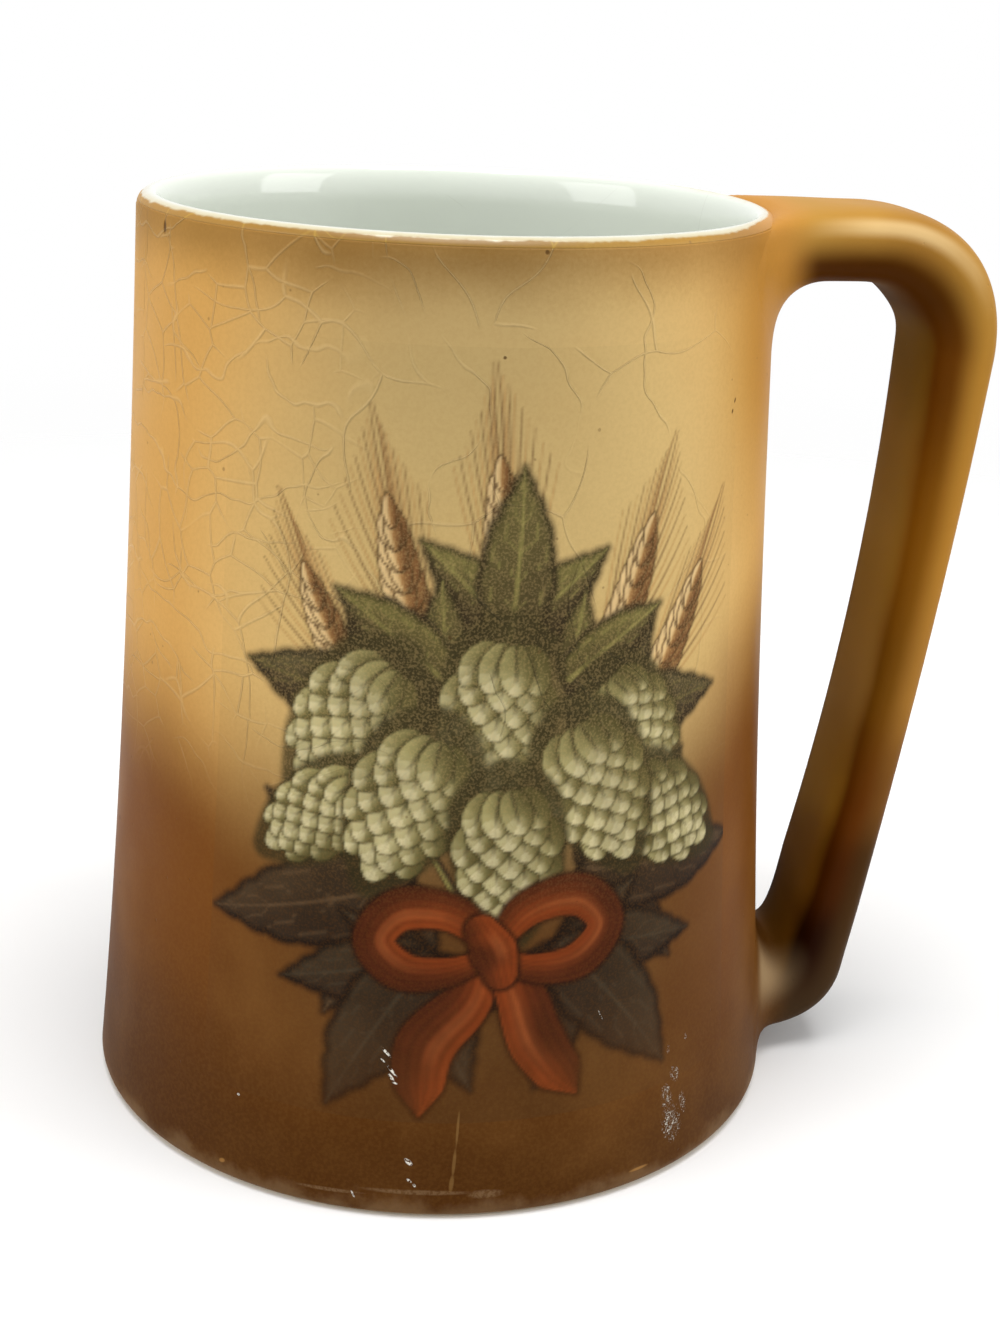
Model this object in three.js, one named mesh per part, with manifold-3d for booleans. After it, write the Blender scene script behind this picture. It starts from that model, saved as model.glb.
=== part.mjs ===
// Beer mug in slip-cast pottery: a flared barrel with a strap handle.
// Millimetres, +Z up, the handle along +X, the foot on the plane z = 0.
// The barrel and the glaze lining are revolved profiles. The handle is a loft of oval sections along a
// bent centre line, cut to the barrel's wall, and each of its roots sits on a thin bed of slip.

import * as THREE from 'three';
import * as BufferGeometryUtils from 'three/addons/utils/BufferGeometryUtils.js';
import Module from 'manifold-3d';

const wasm = await Module();
wasm.setup();

// Barrel
const RIM_HEIGHT = 114.0;
const RIM_RADIUS = 38.4;
const SHOULDER_RADIUS = 39.8; // pull on the wall's curve a third of the way down
const SKIRT_RADIUS = 41.6; // pull on the wall's curve two thirds of the way down
const FOOT_RADIUS = 45.3;
const RIM_WALL = 3.4; // clay and glaze together
const FOOT_WALL = 4.4;
const FLOOR_THICKNESS = 5.5; // clay and glaze together
const FLOOR_CORNER_RADIUS = 7.0;

// Foot
const FOOT_EDGE_RADIUS = 1.4;
const FOOT_RING_WIDTH = 6.5;
const RECESS_DEPTH = 2.4;
const RECESS_CORNER_RADIUS = 1.6;

// Glaze lining
const GLAZE_THICKNESS = 0.6;
const GLAZE_LIP_END = THREE.MathUtils.degToRad(24); // where the glaze stops outside, above level

// Handle, measured at its middle plane
const HANDLE_REACH = 68.0; // from the mug's axis to the outermost face
const HANDLE_RISE = 0.6; // of the flat top above the rim
const STRAP_WIDTH = 19.0;
const TOP_THICKNESS = 9.3;
const GRIP_THICKNESS = 7.45;
const TAIL_THICKNESS = 9.1;
const UPPER_BEND_RADIUS = 12.4;
const UPPER_BEND_SWELL = 1.5; // extra thickness halfway round the bend
const LOWER_BEND_RADIUS = 6.0;
const GRIP_LEAN_TOP = THREE.MathUtils.degToRad(3);
const GRIP_LEAN_FOOT = THREE.MathUtils.degToRad(11.5);
const TAIL_HEIGHT = 7.2; // of the lower root's middle above the foot
const TAIL_STUB = 1.6; // straight stretch between the lower bend and the wall

// Flared roots
const UPPER_FLARE_RADIUS = 19.0; // seen from above
const UPPER_CROTCH_RADIUS = 6.7; // under the top of the strap
const UPPER_DIP = 0.3; // of the strap's top where it meets the lip
const UPPER_DIP_LENGTH = 7.0;
const LOWER_FLARE_RADIUS = 7.5;
const LOWER_CROTCH_RADIUS = 6.5;
const LOWER_TOE_RADIUS = 1.2;

// Squareness of the oval sections: 2 is an ellipse, more is squarer
const STRAP_SQUARENESS = 3.6;
const RIM_SIDE_SQUARENESS = 6.0; // top face of the upper root
const CROTCH_SIDE_SQUARENESS = 2.0; // underside of the upper root
const TAIL_SQUARENESS = 4.0;

// Fits
const SLIP_THICKNESS = 0.8;
const CLEARANCE = 0.3;

// Facets
const LATHE_SEGMENTS = 56;
const SECTION_POINTS = 28;
const WALL_STEPS = 9;
const ARC_STEPS = 5;
const WELD_DISTANCE = 1e-4;

const RIGHT_ANGLE = Math.PI / 2;
const LIP_RADIUS = RIM_WALL / 2;

// The barrel's outer wall is one cubic curve from the foot to the rim
function wallRadius(height) {
  const up = THREE.MathUtils.clamp(height / RIM_HEIGHT, 0, 1);
  const down = 1 - up;
  return FOOT_RADIUS * down ** 3
    + 3 * SKIRT_RADIUS * down ** 2 * up
    + 3 * SHOULDER_RADIUS * down * up ** 2
    + RIM_RADIUS * up ** 3;
}

function cupRadius(height) {
  return wallRadius(height) - THREE.MathUtils.lerp(FOOT_WALL, RIM_WALL, height / RIM_HEIGHT);
}

function arcPoints(centreR, centreZ, radius, startAngle, endAngle, steps = ARC_STEPS) {
  const points = [];
  for (let i = 0; i <= steps; i += 1) {
    const angle = THREE.MathUtils.lerp(startAngle, endAngle, i / steps);
    points.push(new THREE.Vector2(centreR + radius * Math.cos(angle), centreZ + radius * Math.sin(angle)));
  }
  return points;
}

function wallPoints(radiusAt, fromHeight, toHeight, steps = WALL_STEPS) {
  const points = [];
  for (let i = 0; i <= steps; i += 1) {
    const height = THREE.MathUtils.lerp(fromHeight, toHeight, i / steps);
    points.push(new THREE.Vector2(radiusAt(height), height));
  }
  return points;
}

// Revolve a closed profile of (radius, height) points about the vertical axis
function revolve(profile) {
  const geometry = new THREE.LatheGeometry(profile, LATHE_SEGMENTS);
  geometry.rotateX(RIGHT_ANGLE);
  return geometry;
}

function toSolid(geometry) {
  const bare = geometry.clone();
  bare.deleteAttribute('normal');
  bare.deleteAttribute('uv');
  const merged = BufferGeometryUtils.mergeVertices(bare, WELD_DISTANCE);
  const mesh = new wasm.Mesh({
    numProp: 3,
    vertProperties: new Float32Array(merged.attributes.position.array),
    triVerts: new Uint32Array(merged.index.array),
  });
  return new wasm.Manifold(mesh);
}

function toGeometry(solid) {
  const mesh = solid.getMesh();
  const geometry = new THREE.BufferGeometry();
  geometry.setAttribute('position', new THREE.BufferAttribute(new Float32Array(mesh.vertProperties), 3));
  geometry.setIndex(new THREE.BufferAttribute(new Uint32Array(mesh.triVerts), 1));
  geometry.computeVertexNormals();
  return geometry;
}

// The lip is a half round on the wall: the glaze covers it down to GLAZE_LIP_END outside
const LIP_CENTRE_R = RIM_RADIUS - LIP_RADIUS;
const LIP_CENTRE_Z = RIM_HEIGHT - LIP_RADIUS;
const COAT = GLAZE_THICKNESS + CLEARANCE;
const LIP_CLAY_RADIUS = LIP_RADIUS - COAT;
const FLOOR_TOP = RECESS_DEPTH + FLOOR_THICKNESS;

// The cup's inner surface, set back into the wall by an offset, from the lip down to the axis
function cupProfile(offset) {
  const cornerRadius = FLOOR_CORNER_RADIUS + offset;
  const cornerZ = FLOOR_TOP + FLOOR_CORNER_RADIUS;
  const cornerR = cupRadius(cornerZ) - FLOOR_CORNER_RADIUS;
  const wall = wallPoints((height) => cupRadius(height) + offset, LIP_CENTRE_Z, cornerZ);
  const corner = arcPoints(cornerR, cornerZ, cornerRadius, 0, -RIGHT_ANGLE);
  return [...wall, ...corner.slice(1), new THREE.Vector2(0, FLOOR_TOP - offset)];
}

function makeMugBody() {
  const ringOuter = wallRadius(FOOT_EDGE_RADIUS) - FOOT_EDGE_RADIUS;
  const ringInner = ringOuter - FOOT_RING_WIDTH;
  const stepAngle = GLAZE_LIP_END - CLEARANCE / LIP_CLAY_RADIUS;
  const recess = [
    new THREE.Vector2(0, RECESS_DEPTH),
    ...arcPoints(
      ringInner - RECESS_CORNER_RADIUS,
      RECESS_DEPTH - RECESS_CORNER_RADIUS,
      RECESS_CORNER_RADIUS,
      RIGHT_ANGLE,
      0,
    ),
    new THREE.Vector2(ringInner, 0),
  ];
  const footEdge = arcPoints(ringOuter, FOOT_EDGE_RADIUS, FOOT_EDGE_RADIUS, -RIGHT_ANGLE, 0);
  const outerWall = wallPoints(wallRadius, FOOT_EDGE_RADIUS, LIP_CENTRE_Z).slice(1);
  const outerLip = arcPoints(LIP_CENTRE_R, LIP_CENTRE_Z, LIP_RADIUS, 0, stepAngle, 1).slice(1);
  const clayLip = arcPoints(LIP_CENTRE_R, LIP_CENTRE_Z, LIP_CLAY_RADIUS, stepAngle, Math.PI);
  const profile = [...recess, ...footEdge, ...outerWall, ...outerLip, ...clayLip, ...cupProfile(COAT).slice(1)];
  return revolve(profile);
}

function makeInnerGlaze() {
  const outside = arcPoints(LIP_CENTRE_R, LIP_CENTRE_Z, LIP_RADIUS, GLAZE_LIP_END, Math.PI, 2 * ARC_STEPS);
  const inside = arcPoints(LIP_CENTRE_R, LIP_CENTRE_Z, LIP_RADIUS - GLAZE_THICKNESS, Math.PI, GLAZE_LIP_END);
  const faceToClay = [...cupProfile(GLAZE_THICKNESS).reverse(), ...inside.slice(1)];
  const faceToCup = [...outside, ...cupProfile(0).slice(1)];
  return revolve([...faceToClay, ...faceToCup]);
}

// The barrel grown by an offset and carried straight up past the handle's top
function grownBarrel(offset) {
  const above = RIM_HEIGHT + HANDLE_RISE + TOP_THICKNESS;
  const profile = [
    new THREE.Vector2(0, 0),
    ...wallPoints((height) => wallRadius(height) + offset, 0, LIP_CENTRE_Z),
    new THREE.Vector2(RIM_RADIUS + offset, above),
    new THREE.Vector2(0, above),
  ];
  return toSolid(revolve(profile));
}

// A fillet of one radius: how far it has spread at a distance from its far end
function filletSpread(radius, distance) {
  const run = THREE.MathUtils.clamp(distance, 0, radius);
  return radius - Math.sqrt(radius ** 2 - run ** 2);
}

// Where a fillet seen from above leaves the strap's side, and where it touches the wall
function flareReach(flareRadius, barrelRadius) {
  const side = STRAP_WIDTH / 2 + flareRadius;
  const swing = Math.asin(side / (barrelRadius + flareRadius));
  return {
    start: Math.cos(swing) * (barrelRadius + flareRadius),
    end: Math.cos(swing) * barrelRadius,
  };
}

const STRAP_TOP = RIM_HEIGHT + HANDLE_RISE;
const STRAP_LINE_Z = STRAP_TOP - TOP_THICKNESS / 2;
const LOWER_WALL = wallRadius(TAIL_HEIGHT);

const upperRoot = {
  flareRadius: UPPER_FLARE_RADIUS,
  flare: flareReach(UPPER_FLARE_RADIUS, RIM_RADIUS),
  wall: wallRadius(STRAP_TOP - TOP_THICKNESS - UPPER_CROTCH_RADIUS),
  crotchRadius: UPPER_CROTCH_RADIUS,
  toeRadius: 0,
  outerSquareness: RIM_SIDE_SQUARENESS,
  innerSquareness: CROTCH_SIDE_SQUARENESS,
};

const lowerRoot = {
  flareRadius: LOWER_FLARE_RADIUS,
  flare: flareReach(LOWER_FLARE_RADIUS, LOWER_WALL),
  wall: LOWER_WALL,
  crotchRadius: LOWER_CROTCH_RADIUS,
  toeRadius: LOWER_TOE_RADIUS,
  outerSquareness: TAIL_SQUARENESS,
  innerSquareness: TAIL_SQUARENESS,
};

// The strap's centre line in the plane of x and z, from the rim over the grip to the foot.
// Each stretch has the root that it belongs to and its thickness at a share of its length.
function strapLine() {
  const bendX = HANDLE_REACH - TOP_THICKNESS / 2 - UPPER_BEND_RADIUS;
  const bendZ = STRAP_LINE_Z - UPPER_BEND_RADIUS;
  const tailX = LOWER_WALL + TAIL_STUB;
  const tailZ = TAIL_HEIGHT + LOWER_BEND_RADIUS;
  const gripStart = new THREE.Vector2(
    bendX + UPPER_BEND_RADIUS * Math.cos(GRIP_LEAN_TOP),
    bendZ - UPPER_BEND_RADIUS * Math.sin(GRIP_LEAN_TOP),
  );
  const gripEnd = new THREE.Vector2(
    tailX + LOWER_BEND_RADIUS * Math.cos(GRIP_LEAN_FOOT),
    tailZ - LOWER_BEND_RADIUS * Math.sin(GRIP_LEAN_FOOT),
  );
  const pull = gripStart.distanceTo(gripEnd) / 3;
  const leaveTop = new THREE.Vector2(-Math.sin(GRIP_LEAN_TOP), -Math.cos(GRIP_LEAN_TOP));
  const enterFoot = new THREE.Vector2(Math.sin(GRIP_LEAN_FOOT), Math.cos(GRIP_LEAN_FOOT));
  const topThickness = () => TOP_THICKNESS;
  const bendThickness = (share) => TOP_THICKNESS + UPPER_BEND_SWELL * Math.sin(Math.PI * share) ** 2;
  const tailThickness = () => TAIL_THICKNESS;
  const gripThickness = (share) => {
    const waist = 2 * GRIP_THICKNESS - (TOP_THICKNESS + TAIL_THICKNESS) / 2;
    return TOP_THICKNESS * (1 - share) ** 2 + 2 * waist * share * (1 - share) + TAIL_THICKNESS * share ** 2;
  };
  return [
    {
      curve: new THREE.LineCurve(
        new THREE.Vector2(upperRoot.flare.end, STRAP_LINE_Z),
        new THREE.Vector2(bendX, STRAP_LINE_Z),
      ),
      steps: 14,
      root: upperRoot,
      thickness: topThickness,
    },
    {
      curve: new THREE.EllipseCurve(
        bendX, bendZ, UPPER_BEND_RADIUS, UPPER_BEND_RADIUS, RIGHT_ANGLE, -GRIP_LEAN_TOP, true,
      ),
      steps: 12,
      root: upperRoot,
      thickness: bendThickness,
    },
    {
      curve: new THREE.CubicBezierCurve(
        gripStart,
        leaveTop.multiplyScalar(pull).add(gripStart),
        enterFoot.multiplyScalar(pull).add(gripEnd),
        gripEnd,
      ),
      steps: 12,
      root: lowerRoot,
      thickness: gripThickness,
    },
    {
      curve: new THREE.EllipseCurve(
        tailX, tailZ, LOWER_BEND_RADIUS, LOWER_BEND_RADIUS, -GRIP_LEAN_FOOT, -RIGHT_ANGLE, true,
      ),
      steps: 8,
      root: lowerRoot,
      thickness: tailThickness,
    },
    {
      curve: new THREE.LineCurve(
        new THREE.Vector2(tailX, TAIL_HEIGHT),
        new THREE.Vector2(lowerRoot.flare.end, TAIL_HEIGHT),
      ),
      steps: 4,
      root: lowerRoot,
      thickness: tailThickness,
    },
  ];
}

// The stations of one stretch, without its first one where the stretch before it ends there
function stretchStations(stretch, index) {
  const stations = [];
  for (let i = index === 0 ? 0 : 1; i <= stretch.steps; i += 1) {
    const share = i / stretch.steps;
    const centre = stretch.curve.getPointAt(share);
    const along = stretch.curve.getTangentAt(share);
    stations.push(makeStation(centre, along, stretch.thickness(share), stretch.root));
  }
  return stations;
}

// One station of the loft: where it is, which way is outward, and the oval's sizes there
function makeStation(centre, along, thickness, root) {
  const widen = filletSpread(root.flareRadius, root.flare.start - centre.x);
  const deepen = filletSpread(root.crotchRadius, root.wall + root.crotchRadius - centre.x);
  const lower = filletSpread(root.toeRadius, root.wall + root.toeRadius - centre.x);
  const dipShare = THREE.MathUtils.clamp((RIM_RADIUS + UPPER_DIP_LENGTH - centre.x) / UPPER_DIP_LENGTH, 0, 1);
  const dip = root === upperRoot ? UPPER_DIP * dipShare ** 2 : 0;
  const spread = Math.min(1, widen / (root.flareRadius / 2));
  return {
    centre,
    outward: new THREE.Vector2(-along.y, along.x),
    halfWidth: STRAP_WIDTH / 2 + widen,
    outerHalf: thickness / 2 + lower - dip,
    innerHalf: thickness / 2 + deepen,
    outerSquareness: THREE.MathUtils.lerp(STRAP_SQUARENESS, root.outerSquareness, spread),
    innerSquareness: THREE.MathUtils.lerp(STRAP_SQUARENESS, root.innerSquareness, spread),
  };
}

// The oval of one station, as points in space
function stationPoints(station) {
  const points = [];
  for (let i = 0; i < SECTION_POINTS; i += 1) {
    const angle = (2 * Math.PI * i) / SECTION_POINTS;
    const across = Math.cos(angle);
    const out = Math.sin(angle);
    const half = out >= 0 ? station.outerHalf : station.innerHalf;
    const power = out >= 0 ? station.outerSquareness : station.innerSquareness;
    const share = Math.abs(across) ** (2 / STRAP_SQUARENESS);
    const rise = half * Math.sign(out) * Math.max(0, 1 - share ** power) ** (1 / power);
    points.push(new THREE.Vector3(
      station.centre.x + station.outward.x * rise,
      station.halfWidth * Math.sign(across) * share,
      station.centre.y + station.outward.y * rise,
    ));
  }
  return points;
}

// Skin a run of stations and close both ends with a fan
function loft(stations) {
  const rings = stations.map(stationPoints);
  const positions = rings.flat().flatMap((point) => point.toArray());
  const index = [];
  for (let ring = 0; ring + 1 < rings.length; ring += 1) {
    for (let i = 0; i < SECTION_POINTS; i += 1) {
      const next = (i + 1) % SECTION_POINTS;
      const a = ring * SECTION_POINTS + i;
      const b = ring * SECTION_POINTS + next;
      const c = a + SECTION_POINTS;
      const d = b + SECTION_POINTS;
      index.push(a, b, d, a, d, c);
    }
  }
  const last = (rings.length - 1) * SECTION_POINTS;
  for (let i = 1; i + 1 < SECTION_POINTS; i += 1) {
    index.push(0, i + 1, i);
    index.push(last, last + i, last + i + 1);
  }
  const geometry = new THREE.BufferGeometry();
  geometry.setAttribute('position', new THREE.Float32BufferAttribute(positions, 3));
  geometry.setIndex(index);
  return geometry;
}

// Outward from the wall: a clearance, the bed of slip, another clearance, the root
const SLIP_INSIDE = CLEARANCE;
const SLIP_OUTSIDE = SLIP_INSIDE + SLIP_THICKNESS;
const ROOT_INSIDE = SLIP_OUTSIDE + CLEARANCE;

const [topRun, upperBend, grip, lowerBend, tail] = strapLine().map(stretchStations);

function makeHandle() {
  const strap = toSolid(loft([...topRun, ...upperBend, ...grip, ...lowerBend, ...tail]));
  return toGeometry(strap.subtract(grownBarrel(ROOT_INSIDE)));
}

function makeSlip(rootStations) {
  const bed = grownBarrel(SLIP_OUTSIDE).subtract(grownBarrel(SLIP_INSIDE));
  return toGeometry(toSolid(loft(rootStations)).intersect(bed));
}

function namedMesh(name, geometry, material) {
  const mesh = new THREE.Mesh(geometry, material);
  mesh.name = name;
  return mesh;
}

const clay = new THREE.MeshStandardMaterial({ color: 0xc8a269, roughness: 0.5, metalness: 0 });
const handleClay = new THREE.MeshStandardMaterial({ color: 0xb98040, roughness: 0.45, metalness: 0 });
const slip = new THREE.MeshStandardMaterial({ color: 0xa9743a, roughness: 0.6, metalness: 0 });
const whiteGlaze = new THREE.MeshStandardMaterial({ color: 0xe6e7df, roughness: 0.12, metalness: 0 });

const mug = new THREE.Group();
mug.name = 'beer_mug';
mug.add(
  namedMesh('mug_body', makeMugBody(), clay),
  namedMesh('inner_glaze', makeInnerGlaze(), whiteGlaze),
  namedMesh('handle', makeHandle(), handleClay),
  namedMesh('upper_luting_slip', makeSlip(topRun), slip),
  namedMesh('lower_luting_slip', makeSlip([...lowerBend, ...tail]), slip),
);

// The origin is under the middle of the whole outline, handle included
mug.position.x = (wallRadius(FOOT_EDGE_RADIUS) - HANDLE_REACH) / 2;

export default mug;
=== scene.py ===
# %% [markdown]
# # A pottery beer mug, from its solids to its finish
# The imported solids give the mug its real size: a cast barrel, a strap handle, two beds of slip and a
# glaze lining. They are faceted, so each one is replaced here by a smooth piece of the same shape, and
# the finish is painted with nodes. The order is: the frame, the stage, the shapes, the printed spray,
# the finishes. Everything is in metres, in the frame of the solids, with the foot on the plane z = 0.

# %% Load the frame
import math

import bpy
import numpy as np
from mathutils import Matrix, Vector


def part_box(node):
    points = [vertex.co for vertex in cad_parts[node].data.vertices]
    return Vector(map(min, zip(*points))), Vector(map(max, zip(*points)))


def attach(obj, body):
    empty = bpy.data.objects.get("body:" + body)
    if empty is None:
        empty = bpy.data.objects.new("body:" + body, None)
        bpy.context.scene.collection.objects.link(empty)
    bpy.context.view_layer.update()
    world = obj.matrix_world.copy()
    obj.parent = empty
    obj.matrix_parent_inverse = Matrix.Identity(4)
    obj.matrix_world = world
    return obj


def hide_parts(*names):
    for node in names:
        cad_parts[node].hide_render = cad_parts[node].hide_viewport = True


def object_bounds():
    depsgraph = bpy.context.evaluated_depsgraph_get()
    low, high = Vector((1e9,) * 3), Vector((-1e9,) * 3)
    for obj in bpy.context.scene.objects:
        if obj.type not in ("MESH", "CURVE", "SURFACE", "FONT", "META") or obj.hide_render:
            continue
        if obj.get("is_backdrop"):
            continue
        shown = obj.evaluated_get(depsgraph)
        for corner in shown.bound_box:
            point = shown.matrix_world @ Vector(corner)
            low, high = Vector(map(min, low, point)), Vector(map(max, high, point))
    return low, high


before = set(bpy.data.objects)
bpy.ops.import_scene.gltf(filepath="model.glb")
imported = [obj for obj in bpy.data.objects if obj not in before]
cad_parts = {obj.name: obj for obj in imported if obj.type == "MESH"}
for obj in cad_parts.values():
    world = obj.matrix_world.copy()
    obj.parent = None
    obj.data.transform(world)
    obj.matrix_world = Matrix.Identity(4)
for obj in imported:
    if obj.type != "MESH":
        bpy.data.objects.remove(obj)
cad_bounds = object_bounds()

MM = 0.001
ROOT = "root"

body_low, body_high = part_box("mug_body")
AXIS_X = (body_low.x + body_high.x) / 2
print("nodes:", sorted(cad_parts))
print(f"the barrel's axis stands at x = {AXIS_X / MM:.2f} mm")


# %% [markdown]
# The barrel was cast in a mould and is round, so one curve describes its wall. These sizes are the
# part's own, so that the smooth pieces lie on the solids, and the cell after them prints how far the
# two are apart.

# %% Sizes of the barrel
RIM_HEIGHT = 114.0 * MM
RIM_RADIUS = 38.4 * MM
SHOULDER_RADIUS = 39.8 * MM
SKIRT_RADIUS = 41.6 * MM
FOOT_RADIUS = 45.3 * MM
RIM_WALL = 3.4 * MM
FOOT_WALL = 4.4 * MM
FLOOR_TOP = 7.9 * MM
FLOOR_CORNER_RADIUS = 7.0 * MM
FOOT_EDGE_RADIUS = 1.4 * MM
FOOT_RING_WIDTH = 6.5 * MM
RECESS_DEPTH = 2.4 * MM
RECESS_CORNER_RADIUS = 1.6 * MM
GLAZE_THICKNESS = 0.6 * MM
LIP_RADIUS = RIM_WALL / 2
LIP_CENTRE_R = RIM_RADIUS - LIP_RADIUS
LIP_CENTRE_Z = RIM_HEIGHT - LIP_RADIUS


def wall_radius(height):
    """The barrel's outer radius: one cubic curve from the foot to the rim."""
    up = np.clip(np.asarray(height) / RIM_HEIGHT, 0, 1)
    down = 1 - up
    low = FOOT_RADIUS * down**3 + 3 * SKIRT_RADIUS * down**2 * up
    return low + 3 * SHOULDER_RADIUS * down * up**2 + RIM_RADIUS * up**3


def cup_radius(height):
    """The white cup's radius inside the wall."""
    share = np.asarray(height) / RIM_HEIGHT
    return wall_radius(height) - (FOOT_WALL + (RIM_WALL - FOOT_WALL) * share)


# %% Compare the curve with the solid
def node_points(name):
    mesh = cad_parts[name].data
    points = np.empty(3 * len(mesh.vertices), np.float32)
    mesh.vertices.foreach_get("co", points)
    return points.reshape(-1, 3).astype(float)


solid = node_points("mug_body")
solid_radius = np.hypot(solid[:, 0] - AXIS_X, solid[:, 1])
on_wall = (solid[:, 2] > 2 * FOOT_EDGE_RADIUS) & (solid[:, 2] < LIP_CENTRE_Z)
apart = np.abs(solid_radius - wall_radius(solid[:, 2]))[on_wall]
print(f"the solid's outer wall lies {apart.min() / MM:.4f} mm from the curve at best")
print(f"and {np.sort(apart)[: on_wall.sum() // 3].max() / MM:.4f} mm over its outer rings")


# %% [markdown]
# ## The stage
# A product photograph is taken in a tent of white cloth with a few large lamps. Here the world is the
# tent, three area lamps are the softboxes, and a white sheet lies under the mug. The camera stands a
# little above the rim, 25 cm away, where the photograph was taken from.

# %% Camera
CAMERA_PLACE = Vector((-41.30, -243.33, 140.14)) * MM
CAMERA_YAW = math.radians(8.740)
CAMERA_PITCH = math.radians(19.382)
CAMERA_ROLL = math.radians(2.461)
LENS = 53.53
CLIP_START = 10.0 * MM


def add_object(name, data):
    thing = bpy.data.objects.new(name, data)
    bpy.context.scene.collection.objects.link(thing)
    return thing


ahead = Vector((
    math.sin(CAMERA_YAW) * math.cos(CAMERA_PITCH),
    math.cos(CAMERA_YAW) * math.cos(CAMERA_PITCH),
    -math.sin(CAMERA_PITCH),
))
level = Vector((math.cos(CAMERA_YAW), -math.sin(CAMERA_YAW), 0))
upward = level.cross(ahead)
right = level * math.cos(CAMERA_ROLL) + upward * math.sin(CAMERA_ROLL)
top = upward * math.cos(CAMERA_ROLL) - level * math.sin(CAMERA_ROLL)

camera_data = bpy.data.cameras.new("camera")
camera_data.lens = LENS
camera_data.clip_start = CLIP_START
camera = add_object("camera", camera_data)
facing = Matrix((right, top, -ahead)).transposed().to_4x4()
camera.matrix_world = Matrix.Translation(CAMERA_PLACE) @ facing
bpy.context.scene.camera = camera
print("camera", [round(x / MM, 1) for x in camera.matrix_world.translation], "mm")


# %% Lamps
MUG_MIDDLE = Vector((0.0, 0.0, 0.06))


def softbox(name, place, width, height, power):
    """A large area lamp that faces the mug."""
    lamp = bpy.data.lights.new(name, "AREA")
    lamp.shape = "RECTANGLE"
    lamp.size = width
    lamp.size_y = height
    lamp.energy = power
    stand = add_object(name, lamp)
    stand.location = Vector(place)
    stand.rotation_euler = (MUG_MIDDLE - stand.location).to_track_quat("-Z", "Y").to_euler()
    print(f"{name}: {power} W from {place}")


softbox("lamp_left", (-0.80, -0.25, 0.40), 0.5, 0.6, 2.7)
softbox("lamp_right", (0.80, -0.30, 0.40), 0.5, 0.6, 3.0)
softbox("lamp_top", (0.0, -0.10, 0.85), 0.6, 0.5, 5.6)


# %% [markdown]
# The looks of everything are node trees, which are hard to read as lists of nodes. A Wire is one output
# on its way to the next node, and Python's own signs between two wires make a Math node. A pattern can
# then be written as a formula.

# %% Wires
class Wire:
    """A value on its way from one node to the next."""

    def __init__(self, socket):
        self.socket = socket
        self.tree = socket.id_data

    def __add__(self, other):
        return maths("ADD", self, other)

    def __sub__(self, other):
        return maths("SUBTRACT", self, other)

    def __rsub__(self, other):
        return maths("SUBTRACT", other, self)

    def __mul__(self, other):
        return maths("MULTIPLY", self, other)

    def __truediv__(self, other):
        return maths("DIVIDE", self, other)


def add_node(tree, kind, inputs=(), **settings):
    """A node with its settings, and each input either a value or a wire."""
    node = tree.nodes.new(kind)
    for name, value in settings.items():
        setattr(node, name, value)
    for key, value in inputs.items() if isinstance(inputs, dict) else enumerate(inputs):
        if isinstance(value, Wire):
            tree.links.new(value.socket, node.inputs[key])
        else:
            node.inputs[key].default_value = value
    return node


def tree_of(inputs):
    """The tree of the first wire among some inputs."""
    values = inputs.values() if isinstance(inputs, dict) else inputs
    return next(value.tree for value in values if isinstance(value, Wire))


def wire(kind, inputs=(), output=0, tree=None, **settings):
    """One output of a new node, in the tree of the wires that feed it."""
    return Wire(add_node(tree or tree_of(inputs), kind, inputs, **settings).outputs[output])


def maths(operation, *values):
    return wire("ShaderNodeMath", values, operation=operation)


def outputs_of(node):
    return {socket.name: Wire(socket) for socket in node.outputs if socket.name}


def split(vector):
    return [Wire(socket) for socket in add_node(vector.tree, "ShaderNodeSeparateXYZ", [vector]).outputs]


def ramp(value, low, high, to_low=0.0, to_high=1.0):
    """A soft step from low to high."""
    inputs = {"Value": value, "From Min": low, "From Max": high, "To Min": to_low, "To Max": to_high}
    return wire("ShaderNodeMapRange", inputs, interpolation_type="SMOOTHSTEP")


def new_material(name):
    material = bpy.data.materials.new(name)
    material.use_nodes = True
    material.node_tree.nodes.clear()
    return material, material.node_tree


# %% World and sheet
TENT_LIGHT = 0.44
world = bpy.data.worlds.new("tent")
bpy.context.scene.world = world
world.use_nodes = True
world.node_tree.nodes.clear()
rays = outputs_of(add_node(world.node_tree, "ShaderNodeLightPath"))
seen = maths("MAXIMUM", rays["Is Camera Ray"], rays["Is Glossy Ray"])
seen = maths("MAXIMUM", seen, rays["Is Transmission Ray"])
strength = wire("ShaderNodeMapRange", {"Value": seen, "To Min": TENT_LIGHT, "To Max": 1.0})
sky = wire("ShaderNodeBackground", {"Color": (1, 1, 1, 1), "Strength": strength})
add_node(world.node_tree, "ShaderNodeOutputWorld", {"Surface": sky})

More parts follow.
